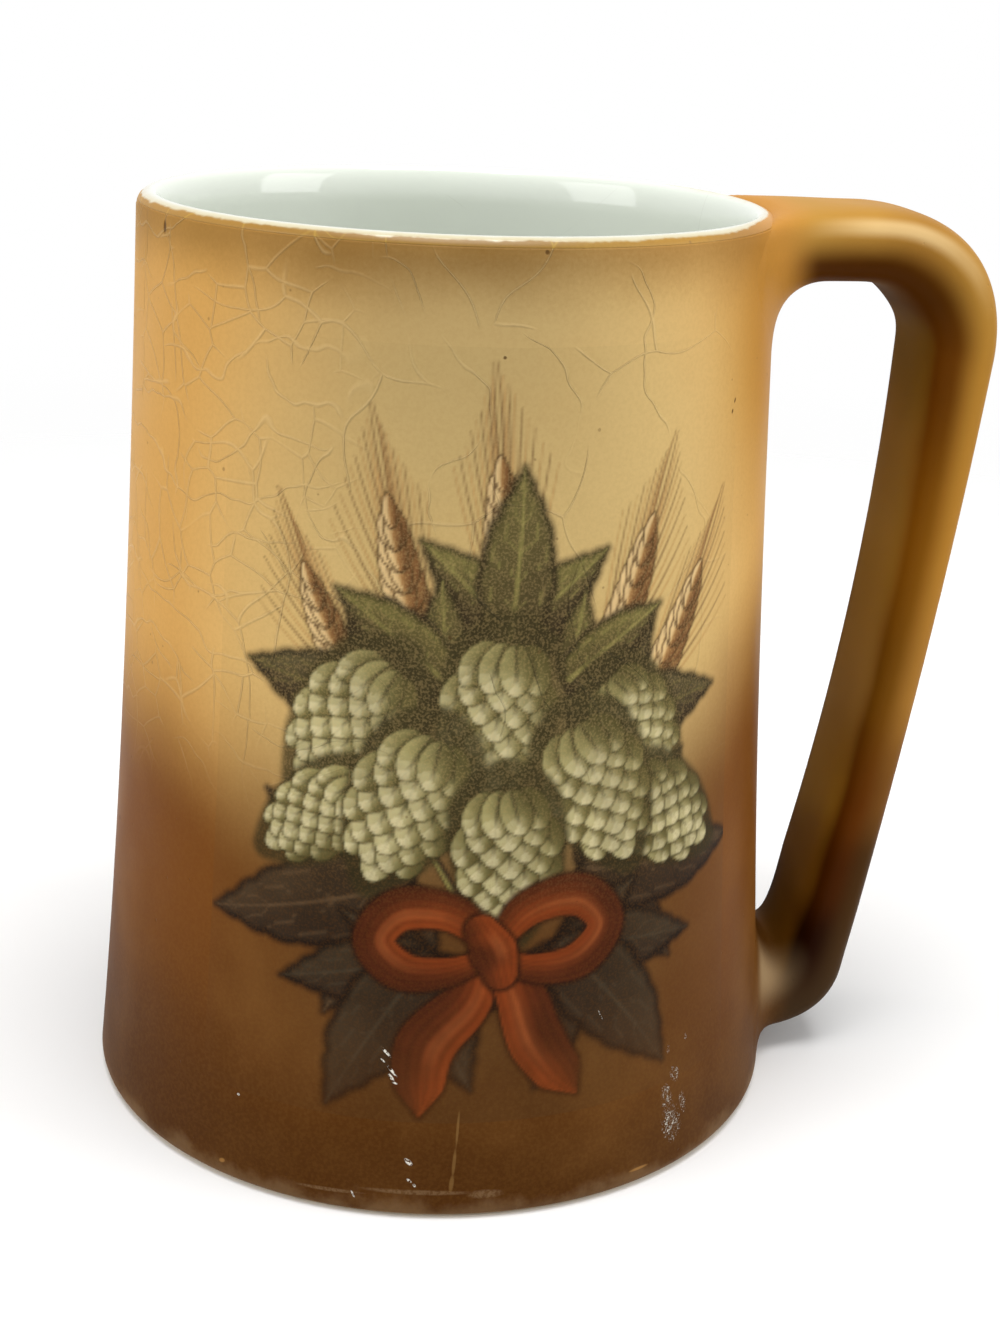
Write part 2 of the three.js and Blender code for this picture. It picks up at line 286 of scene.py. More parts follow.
SHEET_HALF = 0.8
SHEET_DROP = 0.05 * MM
SHEET_WHITE_TO = 0.12
SHEET_GONE_AT = 0.5
PAPER_WHITE = (0.93, 0.93, 0.925, 1)
sheet_mesh = bpy.data.meshes.new("sheet")
square = ((-1, -1), (1, -1), (1, 1), (-1, 1))
sheet_corners = [(x * SHEET_HALF, y * SHEET_HALF, -SHEET_DROP) for x, y in square]
sheet_mesh.from_pydata(sheet_corners, [], [(0, 1, 2, 3)])
sheet = add_object("sheet", sheet_mesh)
sheet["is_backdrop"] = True

paper, paper_tree = new_material("white_paper")
spot = wire("ShaderNodeTexCoord", output="Object", tree=paper_tree)
reach = wire("ShaderNodeVectorMath", [spot], "Value", operation="LENGTH")
fade = ramp(reach, SHEET_WHITE_TO, SHEET_GONE_AT)
matt = wire("ShaderNodeBsdfDiffuse", {"Color": PAPER_WHITE}, tree=paper_tree)
clear = wire("ShaderNodeBsdfTransparent", tree=paper_tree)
both = wire("ShaderNodeMixShader", [fade, matt, clear])
add_node(paper_tree, "ShaderNodeOutputMaterial", {"Surface": both})
sheet_mesh.materials.append(paper)
print(f"the sheet is white up to {SHEET_WHITE_TO} m from the mug and gone at {SHEET_GONE_AT} m")


# %% [markdown]
# ## Turning the barrel and the lining
# A barrel is a profile turned about an axis. Spin or the Screw modifier could do it, but a Geometry
# Nodes tree also writes the UV map while it still knows each point's row and column. The tree lays a
# grid with one row for each point of the profile, looks that point up with Sample Index, and moves the
# grid's points round the axis. Merge by Distance then closes the seam and the two poles.

# %% The wheel: a Geometry Nodes tree that turns a profile
MERGE_DISTANCE = 0.002 * MM


def build_wheel():
    """Profile points (radius, height) as (x, z), with the map's height in y, become a turned solid."""
    tree = bpy.data.node_groups.new("wheel", "GeometryNodeTree")
    keys = {}
    kinds = {"Profile": "Geometry", "Segments": "Int", "Axis X": "Float", "Finish": "Material"}
    for label, kind in kinds.items():
        socket = tree.interface.new_socket(label, in_out="INPUT", socket_type="NodeSocket" + kind)
        keys[label] = socket.identifier
    tree.interface.new_socket("Solid", in_out="OUTPUT", socket_type="NodeSocketGeometry")
    given = outputs_of(add_node(tree, "NodeGroupInput"))

    rows = wire("GeometryNodeAttributeDomainSize", [given["Profile"]], "Point Count", component="MESH")
    columns = given["Segments"] + 1
    grid = wire("GeometryNodeMeshGrid", {"Vertices X": rows, "Vertices Y": columns})
    index = wire("GeometryNodeInputIndex", tree=tree)
    row = maths("FLOOR", (index + 0.5) / columns)
    share = (index - row * columns) / given["Segments"]

    position = wire("GeometryNodeInputPosition", tree=tree)
    looked_up = {"Geometry": given["Profile"], "Value": position, "Index": row}
    point = wire("GeometryNodeSampleIndex", looked_up, data_type="FLOAT_VECTOR", domain="POINT")
    radius, map_height, height = split(point)
    turn = share * (2 * math.pi)
    x = radius * maths("COSINE", turn) + given["Axis X"]
    place = wire("ShaderNodeCombineXYZ", [x, radius * maths("SINE", turn), height])
    map_place = wire("ShaderNodeCombineXYZ", [share, map_height])
    mapped = {"Geometry": grid, "Name": "OFBake", "Value": map_place}
    mesh = wire("GeometryNodeStoreNamedAttribute", mapped, data_type="FLOAT2", domain="CORNER")
    mesh = wire("GeometryNodeSetPosition", {"Geometry": mesh, "Position": place})
    mesh = wire("GeometryNodeMergeByDistance", {"Geometry": mesh, "Distance": MERGE_DISTANCE})
    mesh = wire("GeometryNodeSetShadeSmooth", {"Geometry": mesh})
    mesh = wire("GeometryNodeRealizeInstances", {"Geometry": mesh})
    mesh = wire("GeometryNodeSetMaterial", {"Geometry": mesh, "Material": given["Finish"]})
    add_node(tree, "NodeGroupOutput", {"Solid": mesh})
    return tree, keys


wheel, wheel_inputs = build_wheel()
print(f"the wheel has {len(wheel.nodes)} nodes")


# %% Turn a profile and seat a piece
def volume_of(mesh):
    mesh.calc_loop_triangles()
    corners = np.array([t.vertices[:] for t in mesh.loop_triangles])
    points = np.array([v.co for v in mesh.vertices])
    a, b, c = points[corners[:, 0]], points[corners[:, 1]], points[corners[:, 2]]
    return float(np.einsum("ij,ij->i", a, np.cross(b, c)).sum() / 6)


def seat(name, mesh):
    """Makes a mesh a piece of the mug, riding on its one body."""
    piece = add_object(name, mesh)
    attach(piece, ROOT)
    cubic_cm = volume_of(mesh) * 1e6
    print(f"{name}: {len(mesh.vertices)} points, {len(mesh.polygons)} faces, {cubic_cm:.2f} cubic cm")
    return piece


def turn_on_wheel(name, profile, segments, finish):
    """Turns (radius, height, map height) points into a closed mesh object with its faces outwards."""
    mesh = bpy.data.meshes.new(name)
    points = [(radius, map_height, height) for radius, height, map_height in profile]
    mesh.from_pydata(points, [(i, i + 1) for i in range(len(points) - 1)], [])
    blank = add_object(name + "_profile", mesh)
    modifier = blank.modifiers.new("wheel", "NODES")
    modifier.node_group = wheel
    for label, value in (("Segments", segments), ("Axis X", AXIS_X), ("Finish", finish)):
        modifier[wheel_inputs[label]] = value
    turned = bpy.data.meshes.new_from_object(blank.evaluated_get(bpy.context.evaluated_depsgraph_get()))
    bpy.data.objects.remove(blank)
    if volume_of(turned) < 0:
        turned.flip_normals()
    turned.name = name
    return seat(name, turned)


# %% [markdown]
# The profile runs from the middle of the recessed underside, over the foot ring, up the wall and the
# lip, and down again where the white glaze hides the clay. Its map heights give the outer wall most of
# the map and the hidden clay hardly any.

# %% Profiles
def smooth(value, low, high):
    """A soft step: nothing at low and all at high."""
    t = np.clip((value - low) / (high - low), 0, 1)
    return t * t * (3 - 2 * t)


def run_of(points):
    """How far along a line of points each one lies."""
    return np.concatenate([[0], np.cumsum(np.hypot(*np.diff(points, axis=0).T))])


def arc(centre_r, centre_z, radius, start, end, steps):
    angles = np.radians(np.linspace(start, end, steps + 1))
    return [(centre_r + radius * math.cos(a), centre_z + radius * math.sin(a)) for a in angles]


def wall(radius_at, low, high, steps):
    return [(float(radius_at(z)), float(z)) for z in np.linspace(low, high, steps + 1)]


def with_map(stretches):
    """Joins stretches of profile, each with its share of the map's height."""
    rows, base = [], 0.0
    whole = sum(share for _, share in stretches)
    for points, share in stretches:
        run = run_of(np.array(points))
        for (radius, height), way in zip(points, run / run[-1]):
            rows.append((radius, height, (base + share * way) / whole))
        base += share
    return rows[:1] + [b for a, b in zip(rows, rows[1:]) if math.dist(a[:2], b[:2]) > 0.01 * MM]


COAT_EDGE_ANGLE = 24.0
COAT_FULL_ANGLE = 79.0
COAT_PROUD = 0.03 * MM
LIP_ROLL = 4.6 * MM
ROLL_FOOT = RIM_HEIGHT - LIP_ROLL
ROLL_ACROSS = LIP_CENTRE_R - float(cup_radius(ROLL_FOOT))


def coat_depth(angle):
    """How thick the white glaze is on the lip, by the angle above level outside: it thins to an edge."""
    return COAT_PROUD + (GLAZE_THICKNESS - COAT_PROUD) * smooth(angle, COAT_EDGE_ANGLE, COAT_FULL_ANGLE)


def lip(steps, bedded):
    """The lip, round outside and rolling slowly into the cup. Bedded, it is the clay under the coat."""
    points = []
    for angle in np.linspace(COAT_EDGE_ANGLE, 180, steps + 1):
        a = math.radians(angle)
        depth = coat_depth(angle) if bedded else -math.sin(a) * COAT_PROUD / 3
        across, rise, base = LIP_RADIUS - depth, LIP_RADIUS - depth, LIP_CENTRE_Z
        if angle > 90:
            across, rise, base = ROLL_ACROSS - depth, LIP_ROLL - depth, ROLL_FOOT
        points.append((LIP_CENTRE_R + across * math.cos(a), base + rise * math.sin(a)))
    return points


def cup(offset, steps, corner_steps):
    """The cup's inner face, set back into the wall by an offset, down to the axis."""
    corner_z = FLOOR_TOP + FLOOR_CORNER_RADIUS
    corner_r = float(cup_radius(corner_z)) - FLOOR_CORNER_RADIUS
    side = wall(lambda z: cup_radius(z) + offset, ROLL_FOOT, corner_z, steps)
    corner = arc(corner_r, corner_z, FLOOR_CORNER_RADIUS + offset, 0, -90, corner_steps)
    floor = [(corner_r * share, FLOOR_TOP - offset) for share in np.linspace(1, 0, corner_steps + 1)]
    return side + corner[1:] + floor[1:]


ring_outer = float(wall_radius(FOOT_EDGE_RADIUS)) - FOOT_EDGE_RADIUS
ring_inner = ring_outer - FOOT_RING_WIDTH
recess_r = ring_inner - RECESS_CORNER_RADIUS
recess = [(recess_r * share, RECESS_DEPTH) for share in np.linspace(0, 1, 12)]
recess += arc(recess_r, RECESS_DEPTH - RECESS_CORNER_RADIUS, RECESS_CORNER_RADIUS, 90, 0, 6)[1:]
tread = [(ring_inner, RECESS_DEPTH - RECESS_CORNER_RADIUS), (ring_inner + 0.25 * MM, 0.0)]
tread += [(ring_inner + (ring_outer - ring_inner) * share, 0.0) for share in np.linspace(0.15, 1, 7)]
foot_edge = arc(ring_outer, FOOT_EDGE_RADIUS, FOOT_EDGE_RADIUS, -90, 0, 8)
outer_wall = wall(wall_radius, FOOT_EDGE_RADIUS, LIP_CENTRE_Z, 120)
lip_foot = arc(LIP_CENTRE_R, LIP_CENTRE_Z, LIP_RADIUS, 0, COAT_EDGE_ANGLE, 4)
bedded_lip = lip(24, True)
bedded_cup = cup(GLAZE_THICKNESS, 12, 5)
barrel_profile = with_map([
    (recess, 0.10),
    (tread, 0.06),
    (foot_edge, 0.05),
    (outer_wall + lip_foot[1:], 0.74),
    (bedded_lip, 0.03),
    (bedded_cup, 0.02),
])
coat_back = bedded_cup[::-1] + bedded_lip[-2::-1]
lining_profile = with_map([(coat_back, 0.02), (lip(40, False), 0.16), (cup(0.0, 90, 14), 0.82)])
print(f"the barrel's profile has {len(barrel_profile)} points and the lining's {len(lining_profile)}")


# %% [markdown]
# ## The handle
# The strap is a squarish oval swept along a bent line, and it runs into the barrel with soft fillets.
# A boolean join would leave a hard crease there. Instead the two shapes are written as distances: how
# far a point lies outside the strap, and outside the barrel. A smooth minimum of the two distances is
# the joined clay with its fillets, and the surface is where that distance is nought.

# %% Sizes of the handle
HANDLE_REACH = 68.0 * MM
HANDLE_RISE = 0.6 * MM
STRAP_WIDTH = 19.0 * MM
TOP_THICKNESS = 9.3 * MM
GRIP_THICKNESS = 7.45 * MM
TAIL_THICKNESS = 9.1 * MM
UPPER_BEND_RADIUS = 12.4 * MM
UPPER_BEND_SWELL = 1.5 * MM
LOWER_BEND_RADIUS = 6.0 * MM
GRIP_LEAN_TOP = math.radians(3)
GRIP_LEAN_FOOT = math.radians(11.5)
TAIL_HEIGHT = 7.2 * MM
TAIL_STUB = 1.6 * MM
UPPER_FLARE_RADIUS = 19.0 * MM
UPPER_CROTCH_RADIUS = 6.7 * MM
UPPER_DIP = 0.3 * MM
UPPER_DIP_LENGTH = 7.0 * MM
LOWER_FLARE_RADIUS = 7.5 * MM
LOWER_CROTCH_RADIUS = 6.5 * MM
LOWER_TOE_RADIUS = 1.2 * MM
STRAP_SQUARENESS = 3.6
RIM_SIDE_SQUARENESS = 6.0
CROTCH_SIDE_SQUARENESS = 2.0
TAIL_SQUARENESS = 4.0


def flare_reach(flare_radius, barrel_radius):
    """How far out a fillet seen from above leaves the strap's side, and where it touches the wall."""
    side = STRAP_WIDTH / 2 + flare_radius
    swing = math.asin(side / (barrel_radius + flare_radius))
    return math.cos(swing) * (barrel_radius + flare_radius), math.cos(swing) * barrel_radius


STRAP_LINE_Z = RIM_HEIGHT + HANDLE_RISE - TOP_THICKNESS / 2
LOWER_WALL = float(wall_radius(TAIL_HEIGHT))
UPPER_FLARE_START, UPPER_FLARE_END = flare_reach(UPPER_FLARE_RADIUS, RIM_RADIUS)
LOWER_FLARE_START, LOWER_FLARE_END = flare_reach(LOWER_FLARE_RADIUS, LOWER_WALL)
print(f"the flares leave the strap {UPPER_FLARE_START / MM:.1f} and {LOWER_FLARE_START / MM:.1f} mm out")


# %% The strap's centre line
STRETCH_POINTS = 90
GRIP_POINTS = 360
LINE_POINTS = 900


def bend_round(centre, radius, angle):
    """Points of a bend about its centre, by their angles."""
    return centre + radius * np.hstack([np.cos(angle), np.sin(angle)])


def strap_line():
    """Points (x, z) from the rim over the grip to the foot, with thickness and 1 past the upper bend."""
    bend = np.array([HANDLE_REACH - TOP_THICKNESS / 2, STRAP_LINE_Z]) - UPPER_BEND_RADIUS
    heel = np.array([LOWER_WALL + TAIL_STUB, TAIL_HEIGHT + LOWER_BEND_RADIUS])
    share = np.linspace(0, 1, STRETCH_POINTS)[:, None]

    run = np.array([UPPER_FLARE_END, STRAP_LINE_Z]) * (1 - share) + (bend + [0, UPPER_BEND_RADIUS]) * share
    angle = math.pi / 2 - share * (math.pi / 2 + GRIP_LEAN_TOP)
    upper_bend = bend_round(bend, UPPER_BEND_RADIUS, angle)
    angle = -GRIP_LEAN_FOOT - share * (math.pi / 2 - GRIP_LEAN_FOOT)
    lower_bend = bend_round(heel, LOWER_BEND_RADIUS, angle)
    tail = lower_bend[-1] * (1 - share) + np.array([LOWER_FLARE_END, TAIL_HEIGHT]) * share

    start, end = upper_bend[-1], lower_bend[0]
    pull = math.dist(start, end) / 3
    leave = start + pull * np.array([-math.sin(GRIP_LEAN_TOP), -math.cos(GRIP_LEAN_TOP)])
    enter = end + pull * np.array([math.sin(GRIP_LEAN_FOOT), math.cos(GRIP_LEAN_FOOT)])
    fine = np.linspace(0, 1, GRIP_POINTS)[:, None]
    back = 1 - fine
    grip = start * back**3 + 3 * leave * back**2 * fine + 3 * enter * back * fine**2 + end * fine**3

    waist = 2 * GRIP_THICKNESS - (TOP_THICKNESS + TAIL_THICKNESS) / 2
    thickness = [
        np.full(STRETCH_POINTS, TOP_THICKNESS),
        TOP_THICKNESS + UPPER_BEND_SWELL * np.sin(math.pi * share[:, 0]) ** 2,
        (TOP_THICKNESS * back**2 + 2 * waist * fine * back + TAIL_THICKNESS * fine**2)[:, 0],
        np.full(2 * STRETCH_POINTS, TAIL_THICKNESS),
    ]
    stretches = [run, upper_bend, grip, lower_bend, tail]
    lower = np.concatenate([np.full(len(s), float(i > 1)) for i, s in enumerate(stretches)])
    points = np.concatenate(stretches)
    fresh = np.concatenate([[True], np.hypot(*np.diff(points, axis=0).T) > 1e-9])
    return points[fresh], np.concatenate(thickness)[fresh], lower[fresh]


line, line_thickness, line_lower = strap_line()
line_run = run_of(line)
even = np.linspace(0, line_run[-1], LINE_POINTS)
line_x, line_z, line_thickness, line_lower = (
    np.interp(even, line_run, kept) for kept in (*line.T, line_thickness, line_lower)
)
along_x, along_z = np.gradient(line_x, even), np.gradient(line_z, even)
along_length = np.hypot(along_x, along_z)
along_x, along_z = along_x / along_length, along_z / along_length
print(f"the strap's centre line is {even[-1] / MM:.0f} mm long")


# %% Distances to the strap and to the barrel
COARSE = 4
AT_ONCE = 20000
APPROACHES = 12
APPROACH_SHARE = 0.6


def on_line(along, *kept):
    """Values that are kept for the centre line, looked up some way along it."""
    return [np.interp(along, even, values) for values in kept]


def place_on_strap(x, z):
    """For points in the handle's plane: how far along the line they lie, and how far outward of it."""
    flat_x, flat_z = np.ravel(x), np.ravel(z)
    along = np.empty(len(flat_x))
    for first in range(0, len(flat_x), AT_ONCE):
        part = slice(first, first + AT_ONCE)
        gap_x = flat_x[part, None] - line_x[None, ::COARSE]
        gap_z = flat_z[part, None] - line_z[None, ::COARSE]
        along[part] = even[::COARSE][(gap_x**2 + gap_z**2).argmin(1)]
    for approach in range(APPROACHES + 1):
        cx, cz, tx, tz = on_line(along, line_x, line_z, along_x, along_z)
        if approach < APPROACHES:
            step = (flat_x - cx) * tx + (flat_z - cz) * tz
            along = np.clip(along + APPROACH_SHARE * step, 0, even[-1])
    outward = (flat_z - cz) * tx - (flat_x - cx) * tz
    return along.reshape(np.shape(x)), outward.reshape(np.shape(x))


def fillet_spread(radius, distance):
    """How far a round fillet has spread where it has run some distance."""
    run = np.clip(distance, 0, radius)
    return radius - np.sqrt(radius**2 - run**2)


def strap_distance(along, outward, across, off_wall):
    """About how far a point lies outside the strap's squarish oval, which deepens next to the wall."""
    x, thickness, lower = on_line(along, line_x, line_thickness, line_lower)
    upper = 1 - lower
    widen = fillet_spread(UPPER_FLARE_RADIUS, UPPER_FLARE_START - x) * upper
    widen += fillet_spread(LOWER_FLARE_RADIUS, LOWER_FLARE_START - x) * lower
    deepen = fillet_spread(UPPER_CROTCH_RADIUS, UPPER_CROTCH_RADIUS - off_wall) * upper
    deepen += fillet_spread(LOWER_CROTCH_RADIUS, LOWER_CROTCH_RADIUS - off_wall) * lower
    toe = fillet_spread(LOWER_TOE_RADIUS, LOWER_TOE_RADIUS - off_wall) * lower
    dip = UPPER_DIP * np.clip((RIM_RADIUS + UPPER_DIP_LENGTH - x) / UPPER_DIP_LENGTH, 0, 1) ** 2 * upper
    flare = UPPER_FLARE_RADIUS * upper + LOWER_FLARE_RADIUS * lower
    spread = np.minimum(1, widen / (flare / 2))
    outer = outward > 0
    half = np.where(outer, thickness / 2 + toe - dip, thickness / 2 + deepen)
    rooted = np.where(outer, RIM_SIDE_SQUARENESS, CROTCH_SIDE_SQUARENESS) * upper + TAIL_SQUARENESS * lower
    power = STRAP_SQUARENESS + (rooted - STRAP_SQUARENESS) * spread
    half_width = STRAP_WIDTH / 2 + widen
    y = np.maximum(np.abs(across) / half_width, 1e-6)
    n = np.maximum(np.abs(outward) / half, 1e-6)
    size = (y**power + n**power) ** (1 / power)
    slope = np.hypot((y / size) ** (power - 1) / half_width, (n / size) ** (power - 1) / half)
    return (size - 1) / slope


def barrel_distance(radius, height):
    """How far a point lies outside the barrel's wall and lip."""
    side = np.maximum(radius - wall_radius(height), cup_radius(height) - radius)
    rim = np.hypot(radius - LIP_CENTRE_R, height - LIP_CENTRE_Z) - LIP_RADIUS
    return np.where(height > LIP_CENTRE_Z, rim, side)


# %% The joined clay as one distance
UPPER_SOFTNESS = 4.0 * MM
LOWER_SOFTNESS = 3.4 * MM
CREST_SOFTNESS = 1.0 * MM
ROOT_DEPTH = 1.75 * MM
FEATHER_START = 2.0 * MM
FEATHER_LENGTH = 8.0 * MM
CREST_START = 39.5 * MM
CREST_LENGTH = 1.9 * MM
CREST_DROP = 0.75 * MM
TREAD_START = 2.0 * MM
TREAD_LENGTH = 1.1 * MM
SKIN_INSET = 0.03 * MM
EDGE_SOFTNESS = 1.8 * MM
SOFTNESS_LOW = 30.0 * MM
SOFTNESS_RISE = 40.0 * MM
CREST_LOW = 109.0 * MM
CREST_RISE = 4.0 * MM


def smooth_least(a, b, softness):
    """The smaller of two distances, with the corner between them rounded off."""
    near = np.maximum(softness - np.abs(a - b), 0) / softness
    return np.minimum(a, b) - near**3 * softness / 6


def clay_distance(along, outward, across, x, z):
    """The handle with its fillets, whose edges dive under the barrel's face to a root in the wall."""
    radius = np.hypot(x, across)
    barrel = barrel_distance(radius, z)
    strap = strap_distance(along, outward, across, radius - wall_radius(z)) + SKIN_INSET
    upper = np.clip((z - SOFTNESS_LOW) / SOFTNESS_RISE, 0, 1)
    crest = np.clip((z - CREST_LOW) / CREST_RISE, 0, 1)
    softness = LOWER_SOFTNESS + (UPPER_SOFTNESS - LOWER_SOFTNESS) * upper
    softness = softness + (CREST_SOFTNESS - softness) * crest
    joined = smooth_least(strap, barrel, softness)
    dive = np.clip((strap - FEATHER_START) / FEATHER_LENGTH, 0, None)
    dive = np.maximum(dive, np.clip((TREAD_START - z) / TREAD_LENGTH, 0, None))
    drop = np.clip((CREST_START - radius) / CREST_LENGTH, 0, None) ** 2 * crest
    face = joined + ROOT_DEPTH * dive**2 + CREST_DROP * drop
    return -smooth_least(-face, radius - wall_radius(z) + ROOT_DEPTH, EDGE_SOFTNESS)


def clay_at(points):
    """The distance at loose points (x from the mug's axis, y, z)."""
    along, outward = place_on_strap(points[:, 0], points[:, 2])
    return clay_distance(along, outward, points[:, 1], points[:, 0], points[:, 2])


# %% [markdown]
# The surface is found on a grid of little cubes. Each cube that the surface crosses gets one point, and
# each edge that it crosses gets one face between the four cubes round it. The points then slide along
# the slope of the distance until they lie on the surface itself, so no steps of the grid are left.


# %% Skin a distance on a grid
def skin(values, axes):
    """Surface nets: points and quads of the surface where values change sign."""
    inside = values < 0
    shape = tuple(n - 1 for n in values.shape)
    total = np.zeros(shape + (3,))
    count = np.zeros(shape)
    faces = []
    cell_number = np.full(shape, -1, int)
    steps = [axis[1] - axis[0] for axis in axes]
    for d in range(3):
        one, two = [k for k in range(3) if k != d]
        a = np.take(values, range(values.shape[d] - 1), d)
        b = np.take(values, range(1, values.shape[d]), d)
        crossed = (a < 0) != (b < 0)
        where = np.where(crossed, a / np.where(crossed, a - b, 1), 0)
        for i in (0, 1):
            for j in (0, 1):
                cut = [slice(None)] * 3
                cut[one] = slice(i, i + shape[one])
                cut[two] = slice(j, j + shape[two])
                hit = crossed[tuple(cut)]
                count += hit
                total[..., d] += where[tuple(cut)] * hit
                total[..., one] += i * hit
                total[..., two] += j * hit
    full = count > 0
    cell_number[full] = np.arange(full.sum())
    corner = np.argwhere(full)
    local = total[full] / count[full][:, None]
    points = np.stack([axes[k][0] + steps[k] * (corner[:, k] + local[:, k]) for k in range(3)], 1)
    for d in range(3):
        one, two = [(1, 2), (2, 0), (0, 1)][d]
        a = np.take(inside, range(inside.shape[d] - 1), d)
        b = np.take(inside, range(1, inside.shape[d]), d)
        for flipped, hit in ((False, a & ~b), (True, ~a & b)):
            spots = np.argwhere(hit)
            ok = (spots[:, one] > 0) & (spots[:, two] > 0)
            ok &= (spots[:, one] < shape[one]) & (spots[:, two] < shape[two])
            spots = spots[ok]
            ring = []
            for i, j in ((-1, -1), (0, -1), (0, 0), (-1, 0)):
                cell = spots.copy()
                cell[:, one] += i
                cell[:, two] += j
                ring.append(cell_number[cell[:, 0], cell[:, 1], cell[:, 2]])
            quads = np.stack(ring, 1)
            faces.append(quads[:, ::-1] if flipped else quads)
    return points, np.concatenate(faces)


HANDLE_GRID = 0.65 * MM
axes = [
    np.arange(19.0 * MM, 70.0 * MM, HANDLE_GRID),
    np.arange(-34.0 * MM, 34.1 * MM, HANDLE_GRID),
    np.arange(-1.5 * MM, 117.0 * MM, HANDLE_GRID),
]
plane_x, plane_z = np.meshgrid(axes[0], axes[2], indexing="ij")
plane_along, plane_outward = place_on_strap(plane_x, plane_z)
values = clay_distance(
    plane_along[:, None, :],
    plane_outward[:, None, :],
    axes[1][None, :, None],
    plane_x[:, None, :],
    plane_z[:, None, :],
)
handle_points, handle_faces = skin(values, axes)


# %% Slide the points onto the surface
SLIDES = 3
LONGEST_SLIDE = 0.4 * HANDLE_GRID
LEAST_SLOPE = 0.05
FREE_OF_FILLET = 2.2 * MM


def gradient_at(points, step=0.02 * MM):
    slopes = []
    for d in range(3):
        shift = np.zeros(3)
        shift[d] = step
        slopes.append((clay_at(points + shift) - clay_at(points - shift)) / (2 * step))
    return np.stack(slopes, 1)


for _ in range(SLIDES):
    slope = gradient_at(handle_points)
    move = (clay_at(handle_points) / np.maximum((slope**2).sum(1), LEAST_SLOPE))[:, None] * slope
    length = np.linalg.norm(move, axis=1, keepdims=True)
    handle_points = handle_points - move * np.minimum(1, LONGEST_SLIDE / np.maximum(length, 1e-9))
left_over = np.abs(clay_at(handle_points))
print(f"handle: {len(handle_points)} points, {len(handle_faces)} quads")
print(f"half of them lie within {np.median(left_over) / MM:.5f} mm of the surface after sliding")
print(f"and the others, on the hidden rim in the wall, within {left_over.max() / MM:.3f} mm")

solid = node_points("handle") - [AXIS_X, 0, 0]
outside = barrel_distance(np.hypot(solid[:, 0], solid[:, 1]), solid[:, 2]) > FREE_OF_FILLET
print(f"the solid handle's free points lie within {np.abs(clay_at(solid[outside])).max() / MM:.3f} mm of it")


# %% [markdown]
# The potter wipes the three inner corners with a wet sponge. Here the points near them are moved towards
# the middle of their neighbours again and again, the more so the nearer they are to the corner.

# %% Sponge the inner corners
SPONGE_STRENGTH = 0.6
INNER_CORNERS = (
    ((48.5 * MM, 0.0, 15.0 * MM), 13.0 * MM, 110),
    ((41.0 * MM, 0.0, 103.0 * MM), 9.0 * MM, 30),
    ((54.5 * MM, 0.0, 102.0 * MM), 13.0 * MM, 30),
)


def sponge(points, faces, centre, radius, strokes):
    """Smooths the points within a radius of a centre, fading to nothing at its edge."""
    weight = SPONGE_STRENGTH * smooth(np.linalg.norm(points - centre, axis=1), radius, 0)[:, None]
    ends = np.concatenate([faces[:, [i, (i + 1) % 4]] for i in range(4)])
    ends = np.unique(np.sort(ends, axis=1), axis=0)
    ends = np.concatenate([ends, ends[:, ::-1]])
    ends = ends[weight[ends[:, 0], 0] > 0]
    count = np.maximum(np.bincount(ends[:, 0], minlength=len(points)), 1)
    for _ in range(strokes):
        sums = [np.bincount(ends[:, 0], points[ends[:, 1], k], minlength=len(points)) for k in range(3)]
        middle = np.stack(sums, 1) / count[:, None]
        points = np.where(weight > 0, points + (middle - points) * weight, points)
    return points


for centre, radius, strokes in INNER_CORNERS:
    handle_points = sponge(handle_points, handle_faces, centre, radius, strokes)
print("the three inner corners of the handle are sponged")


# %% [markdown]
# ## The printed spray
# The mug carries a transfer: a sheet printed flat, slid on wet and fired. It is drawn here the same
# way, flat, on a canvas of points 0.28 mm apart. Every stroke is a distance to a bent line with a
# changing width, and later strokes cover earlier ones, as paint does. The motif is a traditional one:
# hops and barley tied with a ribbon. Nothing is loaded from a picture, and each call below is a leaf,
# a cone, an ear or a band that a reader can move. All its lengths are in millimetres.

# %% The drawing's canvas
PRINT_STEP = 0.28
PRINT_HALF_WIDTH = 35.0
PRINT_LOW = 11.0
PRINT_HIGH = 104.0

canvas_u = np.arange(-PRINT_HALF_WIDTH, PRINT_HALF_WIDTH + PRINT_STEP, PRINT_STEP)
canvas_v = np.arange(PRINT_LOW, PRINT_HIGH + PRINT_STEP, PRINT_STEP)
canvas = np.zeros((len(canvas_v), len(canvas_u), 3))
cover = np.zeros((len(canvas_v), len(canvas_u)))
print(f"the canvas has {len(canvas_v)} rows of {len(canvas_u)} points")


# %% Strokes
STROKE_STEP = 0.7
MOST_LEGS = 60
FEWEST_LEGS = 6
STROKE_MARGIN = 0.8


def rounded(points, steps=8):
    """A smooth line through a few points (Catmull-Rom)."""
    p = np.array(points, float)
    p = np.concatenate([[2 * p[0] - p[1]], p, [2 * p[-1] - p[-2]]])
    t = np.linspace(0, 1, steps, endpoint=False)[:, None]
    parts = []
    for a, b, c, d in zip(p, p[1:], p[2:], p[3:]):
        curve = (2 * a - 5 * b + 4 * c - d) * t**2 + (3 * b - a - 3 * c + d) * t**3
        parts.append(0.5 * (2 * b + (c - a) * t + curve))
    return np.concatenate(parts + [p[-2:-1]])


def bent(start, angle, length, bend, steps=14):
    """Points of a line that leaves at an angle and turns by bend degrees on its way."""
    turns = np.radians(angle + np.linspace(0, bend, steps))[:-1]
    strides = length / (steps - 1) * np.stack([np.cos(turns), np.sin(turns)], 1)
    return np.array(start) + np.concatenate([np.zeros((1, 2)), np.cumsum(strides, axis=0)])


